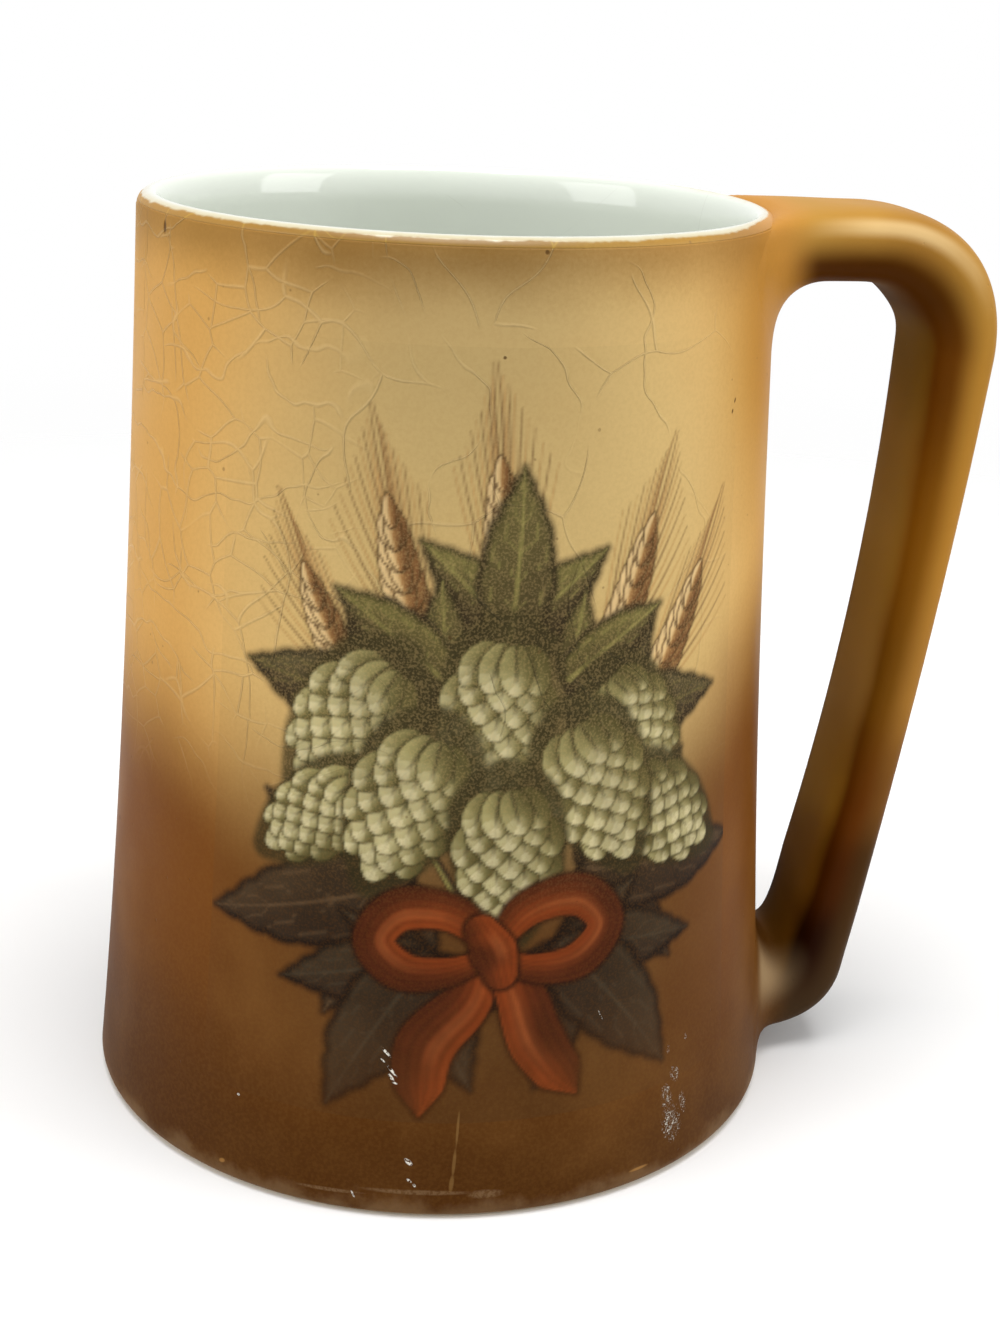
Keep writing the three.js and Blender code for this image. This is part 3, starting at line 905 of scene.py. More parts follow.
def stroke_field(points, widths):
    """Where each canvas point lies on a brush stroke: inside depth in mm, share along, share across."""
    points = np.array(points, float)
    run = run_of(points)
    count = int(max(FEWEST_LEGS, min(MOST_LEGS, run[-1] / STROKE_STEP)))
    knots = np.linspace(0, run[-1], count + 1)
    line = np.stack([np.interp(knots, run, points[:, k]) for k in (0, 1)], 1)
    width = np.interp(knots / run[-1], np.linspace(0, 1, len(widths)), widths)
    reach = width.max() + STROKE_MARGIN
    low, high = line.min(0) - reach, line.max(0) + reach
    rows = slice(*np.searchsorted(canvas_v, (low[1], high[1])))
    cols = slice(*np.searchsorted(canvas_u, (low[0], high[0])))
    u, v = np.meshgrid(canvas_u[cols], canvas_v[rows])
    leg = np.diff(line, axis=0)
    length = np.maximum(np.hypot(*leg.T), 1e-9)
    du, dv = u[..., None] - line[:-1, 0], v[..., None] - line[:-1, 1]
    step = np.clip((du * leg[:, 0] + dv * leg[:, 1]) / length**2, 0, 1)
    here = width[:-1] + np.diff(width) * step
    far = np.hypot(du - step * leg[:, 0], dv - step * leg[:, 1]) - here
    side = (leg[:, 0] * dv - leg[:, 1] * du) / length / np.maximum(here, 0.05)
    along = (knots[:-1] + step * length) / run[-1]
    near = far.argmin(-1)[..., None]
    depth, along, across = (np.take_along_axis(x, near, -1)[..., 0] for x in (-far, along, side))
    return (rows, cols), depth, along, across


def lay(area, depth, paint, strength=1.0, soft=0.22):
    """Lays paint where depth is over nought, with a soft edge."""
    if depth.size == 0:
        return
    share = smooth(depth, -soft, soft) * strength
    covered = 1 - (1 - cover[area]) * (1 - share)
    canvas[area] = toward(canvas[area], paint, share / np.maximum(covered, 1e-6))
    cover[area] = covered


def toward(tone, other, share):
    """A tone mixed with another by a share at each point."""
    return tone + (other - tone) * share[..., None]


# %% Leaves
TEETH = 7.0
VEINS = 6.0
LOBES = {
    3: ((-52, 0.72), (52, 0.72), (0, 1.0)),
    5: ((-96, 0.50), (96, 0.50), (-50, 0.78), (50, 0.78), (0, 1.0)),
}


def hop_leaf(base, angle, size, paints, lobes, bend):
    """A hop leaf: toothed lobes that spread from one point, each with a pale midrib and side veins."""
    dark, mid, light = paints
    for turn, share in LOBES[lobes]:
        length = size * share
        line = bent(base, angle + turn * 0.85, length, bend + turn * 0.16, 26)
        t = np.linspace(0, 1, 27)
        width = length * 0.27 * np.sin(math.pi * t**0.72) ** 0.85 * (1 - 0.25 * t)
        tooth = 1 - 0.22 * ((t * TEETH) % 1.0)
        area, depth, along, across = stroke_field(line, np.maximum(width * tooth, 0.12))
        vein = np.abs(((along * VEINS - np.abs(across) * 1.15) % 1.0) - 0.5) * 2
        vein = smooth(vein, 0.80, 1.0) * smooth(np.abs(across), 1.0, 0.7)
        lit = smooth(across * math.cos(math.radians(angle + turn)) + 0.35 * along, -0.8, 1.0)
        tone = toward(dark, mid, lit)
        tone = toward(tone, light, 0.45 * lit * smooth(along, 0.1, 0.9))
        tone = toward(tone, light, 0.55 * vein)
        tone = toward(tone, 0, 0.45 * smooth(depth, 0.9, 0.0))
        lay(area, depth + 0.35, dark * 0.55, 0.8, 0.5)
        lay(area, depth, tone)
        area, depth, along, across = stroke_field(line, np.linspace(0.34, 0.08, 8))
        lay(area, depth, light, 0.75, 0.16)


# %% Cones
CONE_ROWS = 8
CONE_WIDTHS = np.array([0.55, 0.95, 1.0, 0.92, 0.75, 0.5, 0.22])
BRACT_WIDTHS = np.array([0.45, 0.9, 1.05, 1.0, 0.7, 0.14])


def hop_cone(base, angle, size, paints):
    """A hop cone: rows of papery bracts like tiles, laid from its tip back to its stem."""
    dark, mid, light = paints
    lean = math.radians(angle)
    ahead = np.array([math.cos(lean), math.sin(lean)])
    side = np.array([-ahead[1], ahead[0]])
    full = size * 0.36
    area, depth, along, across = stroke_field([base, np.array(base) + ahead * size], full * CONE_WIDTHS + 0.3)
    lay(area, depth + 0.5, dark * 0.6, 0.85, 0.6)
    for row in reversed(range(CONE_ROWS)):
        t = row / (CONE_ROWS - 1)
        half = full * np.interp(t, [0, 0.25, 0.5, 0.8, 1], [0.55, 0.98, 1.0, 0.68, 0.18])
        places = (-0.68, 0.0, 0.68) if row % 2 else (-0.95, -0.34, 0.34, 0.95)
        if t > 0.9:
            places = (0.0,)
        for place in sorted(places, key=abs, reverse=True):
            root = np.array(base) + ahead * size * (0.02 + 0.70 * t) + side * half * place * 0.62
            turn = angle + place * 34 * (1 - 0.4 * t)
            line = bent(root, turn, size * 0.27, -place * 16, 10)
            area, depth, along, across = stroke_field(line, size * 0.105 * BRACT_WIDTHS)
            sun = smooth(across * -0.5 + 0.4 * (1 - abs(place)) + along * 0.7, -0.2, 1.1)
            sun = sun * (1 - 0.35 * max(0.0, place))
            tone = toward(dark, mid, sun)
            tone = toward(tone, light, smooth(along, 0.35, 0.95) * smooth(sun, 0.25, 0.9))
            tone = toward(tone, 0, smooth(np.abs(across), 0.22, 0.0) * smooth(along, 0.95, 0.5) * 0.35)
            lay(area, depth + 0.16, dark * 0.62, 0.75, 0.2)
            lay(area, depth, tone, 1.0, 0.16)


# %% Ears of barley
GRAINS = 10
GRAIN_WIDTHS = np.array([0.35, 0.95, 1.05, 0.8, 0.1])


def barley_ear(base, angle, size, bend, paints):
    """An ear of barley: a stalk, long awns, two ranks of grains and a middle rank over them."""
    dark, mid, light = paints
    spine = bent(base, angle, size, bend, 60)
    slope = np.gradient(spine, axis=0)
    turns = np.degrees(np.arctan2(slope[:, 1], slope[:, 0]))
    area, depth, along, across = stroke_field(spine[:26], [0.5, 0.45, 0.4])
    lay(area, depth + 0.12, dark, 0.8, 0.2)
    lay(area, depth, mid * 0.85, 1.0, 0.2)
    shares = [k / (GRAINS - 1) for k in range(GRAINS)]
    for k, t in enumerate(shares):
        at = int(22 + t * 30)
        for flank in (-1, 1):
            turn = turns[at] + flank * (20 - 15 * t)
            awn = bent(spine[at], turn, size * (0.60 - 0.22 * t), flank * -9, 14)
            area, depth, along, across = stroke_field(awn, [0.20, 0.17, 0.07])
            lay(area, depth, dark if k % 2 else mid, 0.75, 0.17)
    for t in shares:
        at = int(17 + t * 35)
        scale = size * np.interp(t, [0, 0.3, 0.7, 1], [0.125, 0.165, 0.15, 0.10])
        for flank in (-1, 1, 0) if t < 1 else (0,):
            lean = math.radians(turns[at])
            root = spine[at] + size * 0.012 * flank * (1.3 - t) * np.array([-math.sin(lean), math.cos(lean)])
            line = bent(root, turns[at] + flank * 31 * (1 - 0.45 * t), scale, -flank * 24, 9)
            area, depth, along, across = stroke_field(line, scale * 0.22 * GRAIN_WIDTHS)
            sun = smooth(across * 0.8 + 0.1 + 0.3 * along, -0.7, 0.9)
            tone = toward(toward(dark, mid, sun), light, 0.9 * smooth(sun, 0.6, 1.0))
            lay(area, depth + 0.2, dark * 0.55, 0.85, 0.18)
            lay(area, depth, tone, 1.0, 0.15)


# %% Ribbon, stems and haze
def ribbon(points, widths, paints, lit_side):
    dark, mid, light = paints
    area, depth, along, across = stroke_field(rounded(points), widths)
    sun = smooth(across * lit_side + 0.35 * np.sin(along * 7.0 + 0.6), -0.9, 0.9)
    gleam = smooth(np.abs(across * lit_side - 0.30), 0.42, 0.0) * smooth(np.abs(along - 0.45), 0.42, 0.1)
    tone = toward(toward(dark, mid, sun), light, 0.6 * gleam)
    tone = tone * (1 + 0.06 * np.sin(across * 17.0))[..., None]
    lay(area, depth + 0.35, dark * 0.5, 0.8, 0.4)
    lay(area, depth, tone, 1.0, 0.18)


def stem(points, width, dark, light):
    area, depth, along, across = stroke_field(points, [width, width * 0.8, width * 0.6])
    lay(area, depth + 0.15, dark * 0.6, 0.8, 0.2)
    lay(area, depth, toward(dark, light, smooth(across, -0.7, 0.7)), 1.0, 0.16)


def haze(centre, radii, paint, strength):
    """A soft airbrushed cloud."""
    u, v = np.meshgrid(canvas_u, canvas_v)
    far = np.hypot((u - centre[0]) / radii[0], (v - centre[1]) / radii[1])
    lay((slice(None), slice(None)), 1 - far, paint, strength, 0.9)


# %% The paints, each set from dark to light
def shade(code):
    """A colour as written on screen, as three shares."""
    return np.array([int(code[i : i + 2], 16) / 255 for i in (0, 2, 4)])


UMBER, SMOKE, OLIVE, MOSS = shade("2A2118"), shade("40382A"), shade("5E572F"), shade("8A8248")
BARK, LEATHER, CLOUD = shade("33291C"), shade("5A4630"), shade("6E6238")
SHADED_LEAF = (UMBER, SMOKE, OLIVE)
BROWN_LEAF = (UMBER, BARK, LEATHER)
DARK_LEAF = (UMBER, BARK, SMOKE)
GREEN_LEAF = (UMBER, OLIVE, MOSS)
GREEN_CONE = (shade("4C4626"), shade("98905E"), shade("C9BE93"))
RIPE_EAR = (shade("6B4628"), shade("B98C55"), shade("DDBF8A"))
RED_RIBBON = (shade("47200F"), shade("7A3616"), shade("94502A"))

# %% The spray, from the back to the front
EARS = (
    ((-6, 53), 136, 31, -26),
    ((8, 51), 44, 33, 22),
    ((-3, 54), 114, 35, -14),
    ((6, 53), 63, 34, 10),
    ((1, 56), 90, 36, 6),
)
LEAVES = (
    ((-9, 61), 162, 21, SHADED_LEAF, 5, 8),
    ((10, 59), 14, 20, SHADED_LEAF, 5, -12),
    ((-10, 42), 200, 24, BROWN_LEAF, 5, -6),
    ((11, 43), -8, 23, BROWN_LEAF, 5, 10),
    ((-7, 33), 236, 22, DARK_LEAF, 5, 10),
    ((8, 34), -48, 23, DARK_LEAF, 5, -10),
    ((1, 71), 84, 19, GREEN_LEAF, 5, 6),
    ((-6, 66), 138, 16, GREEN_LEAF, 3, 8),
    ((8, 66), 36, 14, GREEN_LEAF, 3, -8),
)
STEMS = (((0, 33), 96, 34, -14, 0.7), ((-1, 34), 112, 26, 20, 0.5), ((2, 34), 70, 26, -20, 0.5))
CONES = (
    ((-12, 67), 232, 17),
    ((13, 65), -52, 15),
    ((-15, 53), 218, 14),
    ((16, 52), -36, 16),
    ((1, 70), 262, 18),
    ((-7, 59), 248, 18),
    ((9, 60), -66, 18),
    ((1, 53), 275, 17),
)
LOOP_WIDTHS = (0.9, 2.1, 2.6, 2.3, 2.4, 1.8, 0.9)
RIBBONS = (
    (((-1, 34), (-2.5, 28), (-7, 22), (-7.5, 13.5)), (1.2, 2.5, 3.1, 3.3, 2.9, 0.3), 1),
    (((1, 34), (3.5, 28), (5.5, 22), (10, 15)), (1.2, 2.5, 3.0, 3.2, 2.8, 0.3), -1),
    (((0, 34), (-4, 38.5), (-10, 39), (-13, 35), (-10, 31.5), (-5, 31.5), (0, 33.5)), LOOP_WIDTHS, 1),
    (((0, 34), (4, 39), (10, 40), (13.5, 36), (10.5, 32), (5, 31.5), (0, 33.5)), LOOP_WIDTHS, -1),
    (((-1.2, 36.6), (0.2, 34), (1.0, 31.2)), (1.9, 2.6, 1.9), 1),
)
haze((0, 56), (27, 36), CLOUD, 0.30)
haze((2, 34), (26, 20), UMBER, 0.40)
for ear in EARS:
    barley_ear(*ear, RIPE_EAR)
for leaf in LEAVES:
    hop_leaf(*leaf)
for base, angle, length, bend, width in STEMS:
    stem(bent(base, angle, length, bend, 20), width, BARK, MOSS)
for cone in CONES:
    hop_cone(*cone, GREEN_CONE)
for points, widths, lit_side in RIBBONS:
    ribbon(points, widths, RED_RIBBON, lit_side)
print(f"the spray covers {100 * (cover > 0.5).mean():.0f} % of its sheet")


# %% [markdown]
# The canvas becomes a thin closed sheet that lies on the wall. Its rim sinks into the wall little by
# little, so no edge shows. The colours ride on its points, and its map is the flat drawing itself, with
# the hidden back and rims in narrow bands above it.

# %% The transfer's sheet
TRANSFER_ANGLE = math.radians(-88.0)
TRANSFER_RADIUS = 40.5
TRANSFER_PROUD = 0.03 * MM
TRANSFER_SUNK = -0.03 * MM
TRANSFER_BACK = -0.5 * MM
TRANSFER_FADE = 3.0
BACK_ROWS = 13
FRONT_SHARE = 0.94
BACK_BAND = (0.945, 0.03)
RIM_BANDS = ((0.977, 0.004), (0.983, 0.004), (0.989, 0.004), (0.995, 0.004))


def linear(shares):
    """Screen colours as the light they stand for."""
    return np.where(shares <= 0.04045, shares / 12.92, ((shares + 0.055) / 1.055) ** 2.4)


def on_wall(u, v, off_wall):
    """Points of the flat drawing laid round the barrel."""
    radius = wall_radius(v * MM) + off_wall
    angle = TRANSFER_ANGLE + u / TRANSFER_RADIUS
    x, y = AXIS_X + radius * np.cos(angle), radius * np.sin(angle)
    return np.stack([x, y, v * MM], -1).reshape(-1, 3)


def quads(*corners):
    return np.stack([corner.ravel() for corner in corners], 1).tolist()


def transfer_faces(front, back, kept_rows):
    """The sheet's faces in six sets: front, back, low rim, high rim and the two sides."""
    left, right = [], []
    for k, (low, high) in enumerate(zip(kept_rows, kept_rows[1:])):
        left.append([*front[low : high + 1, 0].tolist(), int(back[k + 1, 0]), int(back[k, 0])])
        right.append([*front[low : high + 1, -1][::-1].tolist(), int(back[k, -1]), int(back[k + 1, -1])])
    return [
        quads(front[:-1, :-1], front[:-1, 1:], front[1:, 1:], front[1:, :-1]),
        quads(back[:-1, :-1], back[1:, :-1], back[1:, 1:], back[:-1, 1:]),
        quads(front[0, :-1], back[0, :-1], back[0, 1:], front[0, 1:]),
        quads(front[-1, 1:], back[-1, 1:], back[-1, :-1], front[-1, :-1]),
        left,
        right,
    ]


def build_transfer(name, finish):
    rows, columns = cover.shape
    u, v = np.meshgrid(canvas_u, canvas_v)
    inset = np.minimum(PRINT_HALF_WIDTH - np.abs(u), np.minimum(v - canvas_v[0], canvas_v[-1] - v))
    lift = TRANSFER_SUNK + (TRANSFER_PROUD - TRANSFER_SUNK) * smooth(inset, 0.0, TRANSFER_FADE)
    kept_rows = np.round(np.linspace(0, rows - 1, BACK_ROWS)).astype(int)
    points = np.concatenate([on_wall(u, v, lift), on_wall(u[kept_rows], v[kept_rows], TRANSFER_BACK)])
    front = np.arange(rows * columns).reshape(rows, columns)
    back = rows * columns + np.arange(BACK_ROWS * columns).reshape(BACK_ROWS, columns)
    face_sets = transfer_faces(front, back, kept_rows)

    mesh = bpy.data.meshes.new(name)
    mesh.from_pydata(points.tolist(), [], sum(face_sets, []))
    mesh.shade_smooth()
    mesh.materials.append(finish)

    ink = np.zeros((len(points), 4))
    ink[: rows * columns, :3] = linear(canvas).reshape(-1, 3)
    ink[: rows * columns, 3] = cover.ravel()
    layer = mesh.color_attributes.new("ink", "FLOAT_COLOR", "POINT")
    layer.data.foreach_set("color", ink.astype(np.float32).ravel())

    shares = ((u / PRINT_HALF_WIDTH + 1) / 2, (v - canvas_v[0]) / (canvas_v[-1] - canvas_v[0]))
    corner = np.empty(len(mesh.loops), int)
    mesh.loops.foreach_get("vertex_index", corner)
    across, rise = (np.concatenate([s.ravel(), s[kept_rows].ravel()])[corner] for s in shares)
    depth = (corner >= rows * columns) * 1.0
    place = np.stack([across, rise * FRONT_SHARE], 1)
    maps = ((across, rise), (across, depth), (across, depth), (rise, depth), (rise, depth))
    first = 4 * len(face_sets[0])
    for face_set, (base, height), (along_map, up_map) in zip(face_sets[1:], (BACK_BAND, *RIM_BANDS), maps):
        chosen = slice(first, first + sum(len(face) for face in face_set))
        place[chosen] = np.stack([along_map[chosen], base + height * up_map[chosen]], 1)
        first = chosen.stop
    flat_map = mesh.uv_layers.new(name="OFBake")
    flat_map.data.foreach_set("uv", place.astype(np.float32).ravel())

    piece = seat(name, mesh)


# %% [markdown]
# ## Finishes
# Ground, crackle, pinholes and wear show on more than one piece, so each is a node group. They all
# read Object coordinates: the pieces sit at the origin, so a pattern runs on from one to the next.

# %% Helpers for the finishes
SOCKET_KINDS = {"VALUE": "NodeSocketFloat", "VECTOR": "NodeSocketVector", "RGBA": "NodeSocketColor"}


def colour(code):
    """A screen colour for a socket."""
    return (*linear(shade(code)).tolist(), 1.0)


def blend(share, below, above, way="MIX"):
    """Two colours mixed by a share."""
    inputs = {0: share, 6: below, 7: above}
    return wire("ShaderNodeMix", inputs, 2, data_type="RGBA", blend_type=way)


def noise(vector, scale, detail=2.0, rough=0.5):
    inputs = {"Vector": vector, "Scale": scale, "Detail": detail, "Roughness": rough}
    return wire("ShaderNodeTexNoise", inputs, "Fac")


def open_group(name, inputs):
    """A shader group, and the wires of its inputs: a vector (None), a number or a colour each."""
    tree = bpy.data.node_groups.new(name, "ShaderNodeTree")
    for label, value in inputs.items():
        kind = "VECTOR" if value is None else "VALUE" if isinstance(value, float) else "RGBA"
        socket = tree.interface.new_socket(label, in_out="INPUT", socket_type=SOCKET_KINDS[kind])
        if value is not None:
            socket.default_value = value
    return outputs_of(add_node(tree, "NodeGroupInput"))


def close_group(outputs):
    """Sends wires out of their group under their names."""
    tree = tree_of(outputs)
    for label, value in outputs.items():
        tree.interface.new_socket(label, in_out="OUTPUT", socket_type=SOCKET_KINDS[value.socket.type])
    add_node(tree, "NodeGroupOutput", outputs)
    print(f"group {tree.name}: {len(tree.nodes)} nodes")
    return tree


def use_group(group, inputs):
    return outputs_of(add_node(tree_of(inputs), "ShaderNodeGroup", inputs, node_tree=group))


# %% Where a point is on the mug
PRINT_ANGLE = math.radians(-86.0)
UNROLLED_RADIUS = 41.0 * MM
wall_heights = np.linspace(8.0 * MM, 111.0 * MM, 60)
WALL_FIT = [float(c) for c in np.polyfit(wall_heights, [wall_radius(z) for z in wall_heights], 2)]


def build_place():
    """Object coordinates as height, radius, distance off the wall, angle from the print, and so on."""
    given = open_group("place_on_mug", {"Vector": None})
    x, y, z = split(given["Vector"])
    x = x - AXIS_X
    front_x, front_y = math.cos(PRINT_ANGLE), math.sin(PRINT_ANGLE)
    ahead = x * front_x + y * front_y
    aside = y * front_x - x * front_y
    radius = maths("SQRT", x * x + y * y)
    safe = maths("MAXIMUM", radius, 1e-5)
    angle = maths("ARCTAN2", aside, ahead)
    bow, slope, foot_radius = WALL_FIT
    return close_group({
        "Height": z,
        "Radius": radius,
        "Stand-off": radius - (z * (z * bow + slope) + foot_radius),
        "Angle": angle,
        "Facing": ahead / safe,
        "Handle Side": x / safe,
        "Unrolled": wire("ShaderNodeCombineXYZ", [angle * UNROLLED_RADIUS, z]),
    })


place_group = build_place()


# %% [markdown]
# The ground was sprayed: straw in the middle of the front, ochre round it and under the rim, and brown
# blown on from below, with a soft edge that rises towards the sides. Two painted shades lie over the
# spray: a grey one at the top of the front, over the print, where less light falls between the side
# lamps, and a brownish one that darkens the ochre by the handle's upper root. Heights are in metres and
# angles in radians from the print. A span is where a soft step starts and ends, and a noise is given by
# its scale, detail and roughness.

# %% The sprayed ground
DRIFT = (22.0, 3.0, 0.55)
DRIFT_RISE = 0.016
FOG = (2000.0, 2.0, 0.7)
FOG_RISE = 0.0024
STRAW_HEIGHT = 0.076
STRAW_SPAN = (0.05, 0.95)
UNDER_RIM = (0.1040, 0.1145)
NEAR_HANDLE = (0.72, 0.96)
# painted shade: where the grey shade at the top of the front lies, over the print
CENTRE_SHADE_ANGLE = -0.2
CENTRE_SHADE_ACROSS = (0.80, 0.10)
CENTRE_SHADE_UP = (0.070, 0.110)
# painted shade: where the ochre is darkened by the handle's upper root
ROOT_SHADE_ROUND = (0.58, 0.88)
ROOT_SHADE_UP = (0.072, 0.102)
RIGHT_FROM = (0.35, 0.85)
RIGHT_TO = (3.0, 1.7)
BROWN_SIDE_HEIGHT = 0.058
BROWN_FRONT_HEIGHT = 0.049
BROWN_RIGHT_RISE = 0.009
BROWN_SOFTNESS = (0.0130, -0.0145)
FOOT_SPAN = (0.040, 0.002)


def build_ground():
    given = open_group("sprayed_ground", {
        "Vector": None,
        "Straw": colour("DDBD7E"),
        "Ochre": colour("D2A058"),
        "Rim Ochre": colour("9E753A"),
        # the next two colours are painted shade, multiplied over the spray
        "Haze": colour("D8D9DC"),
        "Root Shade": colour("E4D4AC"),
        "Brown": colour("6E4014"),
        "Foot Brown": colour("48280A"),
    })
    vector = given["Vector"]
    where = use_group(place_group, {"Vector": vector})
    angle, facing, handle_side = where["Angle"], where["Facing"], where["Handle Side"]
    height = where["Height"] + (noise(vector, *DRIFT) - 0.5) * DRIFT_RISE
    height = height + (noise(vector, *FOG) - 0.5) * FOG_RISE

    off_centre = (where["Height"] - STRAW_HEIGHT) * 15.0
    away = off_centre * off_centre + (1.0 - facing) * 1.6
    upper = blend(ramp(away, *STRAW_SPAN), given["Straw"], given["Ochre"])
    under_rim = ramp(height, *UNDER_RIM) * (1.0 - ramp(handle_side, *NEAR_HANDLE))
    upper = blend(under_rim, upper, given["Rim Ochre"])
    # painted shade: the top of the front, over the print, is multiplied towards grey, where less light falls
    # between the side lamps
    off_shade_middle = maths("ABSOLUTE", angle - CENTRE_SHADE_ANGLE)
    centre_shade = ramp(off_shade_middle, *CENTRE_SHADE_ACROSS) * ramp(height, *CENTRE_SHADE_UP)
    upper = blend(centre_shade, upper, given["Haze"], "MULTIPLY")
    # painted shade: the ochre by the handle's upper root is multiplied darker
    root_shade_share = ramp(handle_side, *ROOT_SHADE_ROUND) * ramp(height, *ROOT_SHADE_UP)
    upper = blend(root_shade_share, upper, given["Root Shade"], "MULTIPLY")

    right = ramp(angle, *RIGHT_FROM) * ramp(angle, *RIGHT_TO)
    edge = ramp(facing, 0.35, 1.0, BROWN_SIDE_HEIGHT, BROWN_FRONT_HEIGHT) + right * BROWN_RIGHT_RISE
    brown = ramp(height - edge, *BROWN_SOFTNESS)
    lower = blend(ramp(height, *FOOT_SPAN), given["Brown"], given["Foot Brown"])
    return close_group({"Color": blend(brown, upper, lower), "Brown Share": brown})


ground_group = build_ground()


# %% [markdown]
# Old glaze crackles. The lines are the borders of flat Voronoi cells on the unrolled wall, so they keep
# one width. A slow noise bends them and a quicker one leaves gaps, because real crackle lines stop
# short of each other.

# %% Crackle and pinholes
def build_crackle():
    inputs = {"Vector": None, "Cells": 70.0, "Wander": 0.006, "Width": 0.012, "Gaps": 0.5}
    given = open_group("crackle", inputs)
    bend = wire("ShaderNodeTexNoise", {"Vector": given["Vector"], "Scale": 60.0, "Detail": 1.0}, "Color")
    centred = wire("ShaderNodeVectorMath", [bend, (0.5, 0.5, 0.5)], operation="SUBTRACT")
    push = wire("ShaderNodeVectorMath", {0: centred, "Scale": given["Wander"]}, operation="SCALE")
    moved = wire("ShaderNodeVectorMath", [given["Vector"], push], operation="ADD")
    cells = {"Vector": moved, "Scale": given["Cells"], "Randomness": 1.0}
    flat = {"feature": "DISTANCE_TO_EDGE", "voronoi_dimensions": "2D"}
    lines = ramp(wire("ShaderNodeTexVoronoi", cells, "Distance", **flat), given["Width"], 0.0)
    kept = ramp(noise(moved, 85.0, 1.0) - given["Gaps"], -0.04, 0.05)
    return close_group({"Lines": lines * kept})


def build_wavy_cracks():
    """Long cracks that wander side by side: contour lines of the height, swayed by a slow noise."""
    inputs = {"Vector": None, "Spacing": 0.007, "Sway": 0.030, "Width": 0.00025, "Gaps": 0.5}
    given = open_group("wavy_cracks", inputs)
    vector = given["Vector"]
    height = split(vector)[1]
    swayed = height + (noise(vector, 42.0, 1.0) - 0.5) * given["Sway"]
    swayed = swayed + (noise(vector, 210.0, 1.0) - 0.5) * 0.0035
    off_line = maths("PINGPONG", swayed, given["Spacing"] * 0.5)
    kept = ramp(noise(vector, 75.0, 1.0) - given["Gaps"], -0.03, 0.04)
    return close_group({"Lines": ramp(off_line / given["Width"], 1.0, 0.0) * kept})


def build_pinholes():
    """Scattered dots: a few Voronoi cells keep a small disc about their centre."""
    given = open_group("pinholes", {"Vector": None, "Cells": 400.0, "Size": 0.12, "Share": 0.1})
    inputs = {"Vector": given["Vector"], "Scale": given["Cells"]}
    cells = outputs_of(add_node(given["Vector"].tree, "ShaderNodeTexVoronoi", inputs, feature="F1"))
    chance = outputs_of(add_node(given["Vector"].tree, "ShaderNodeSeparateColor", [cells["Color"]]))
    picked = maths("LESS_THAN", chance["Red"], given["Share"])
    size = given["Size"] * (chance["Green"] + 0.4)
    return close_group({"Dots": ramp(cells["Distance"], size, size * 0.4) * picked})


crackle_group = build_crackle()
wavy_group = build_wavy_cracks()
pinhole_group = build_pinholes()


def dots(vector, cells, size, share):
    return use_group(pinhole_group, {"Vector": vector, "Cells": cells, "Size": size, "Share": share})["Dots"]


# %% [markdown]
# Long use has left scratches, powdery scuffs, runs and chips, most of them near the foot. Each
# one is a soft oval with a place, a size and a lean on the wall, and a noise breaks up its edge. A list
# of ovals can be moved about, which a painted picture can't.

# %% Marks of use
MARK_RADIUS = 43.5 * MM


def build_mark():
    """A soft spot on the wall at an angle from the print's middle and a height, long and leaning."""
    given = open_group("mark_on_wall", {
        "Angle": 0.0,
        "Height": 0.0,
        "At Angle": 0.0,
        "At Height": 0.01,
        "Half Length": 0.002,
        "Half Width": 0.002,
        "Lean": 0.0,
    })
    across = (given["Angle"] - given["At Angle"]) * MARK_RADIUS
    upright = given["Height"] - given["At Height"]
    cosine = maths("COSINE", given["Lean"])
    sine = maths("SINE", given["Lean"])
    lengthwise = (across * cosine + upright * sine) / given["Half Length"]
    crosswise = (upright * cosine - across * sine) / given["Half Width"]
    return close_group({"Mark": ramp(lengthwise * lengthwise + crosswise * crosswise, 1.0, 0.1)})


mark_group = build_mark()


def marks(where, places):
    """The strongest of several marks: angle in degrees, height, half length, half width in mm, and lean."""
    strongest = 0.0
    for angle, height, half_length, half_width, lean in places:
        mark = use_group(mark_group, {
            "Angle": where["Angle"],
            "Height": where["Height"],
            "At Angle": math.radians(angle) - PRINT_ANGLE,
            "At Height": height * MM,
            "Half Length": half_length * MM,
            "Half Width": half_width * MM,
            "Lean": math.radians(lean),
        })["Mark"]
        strongest = maths("MAXIMUM", mark, strongest)
    return strongest


SCRATCHES = (
    (-103.8, 21.2, 0.95, 0.22, -46),
    (-102.8, 18.9, 1.05, 0.22, -50),
    (-104.2, 20.1, 0.50, 0.13, -39),
    (-102.9, 18.1, 0.70, 0.24, -54),
    (-102.3, 17.4, 0.38, 0.16, -20),
    (-99.8, 7.4, 0.70, 0.34, -45),
    (-99.6, 5.0, 0.42, 0.20, -40),
    (-98.8, 4.4, 0.28, 0.20, -58),
    (-108.1, 2.6, 0.55, 0.16, -61),
    (-128.1, 11.8, 0.25, 0.20, 0),
    (-69.6, 24.2, 0.80, 0.10, -65),
)
SCUFFS = (
    (-54.1, 12.9, 1.4, 1.0, -69),
    (-55.9, 10.3, 2.1, 1.1, -80),
    (-54.8, 6.6, 3.4, 2.0, -78),
    (-52.1, 8.5, 2.0, 0.7, -76),
    (-55.6, 16.6, 0.8, 0.35, -89),
    (-51.4, 17.1, 0.8, 0.3, -85),
)
RUNS = ((-92.5, 11.7, 2.8, 0.20, -93), (-92.9, 7.4, 2.2, 0.26, -94), (-93.2, 4.7, 1.4, 0.34, -96))
FOOT_STREAKS = ((-98.5, 3.5, 7.5, 0.40, 0), (-112.0, 2.7, 5.0, 0.30, 2), (-88.0, 3.2, 2.5, 0.70, 0))
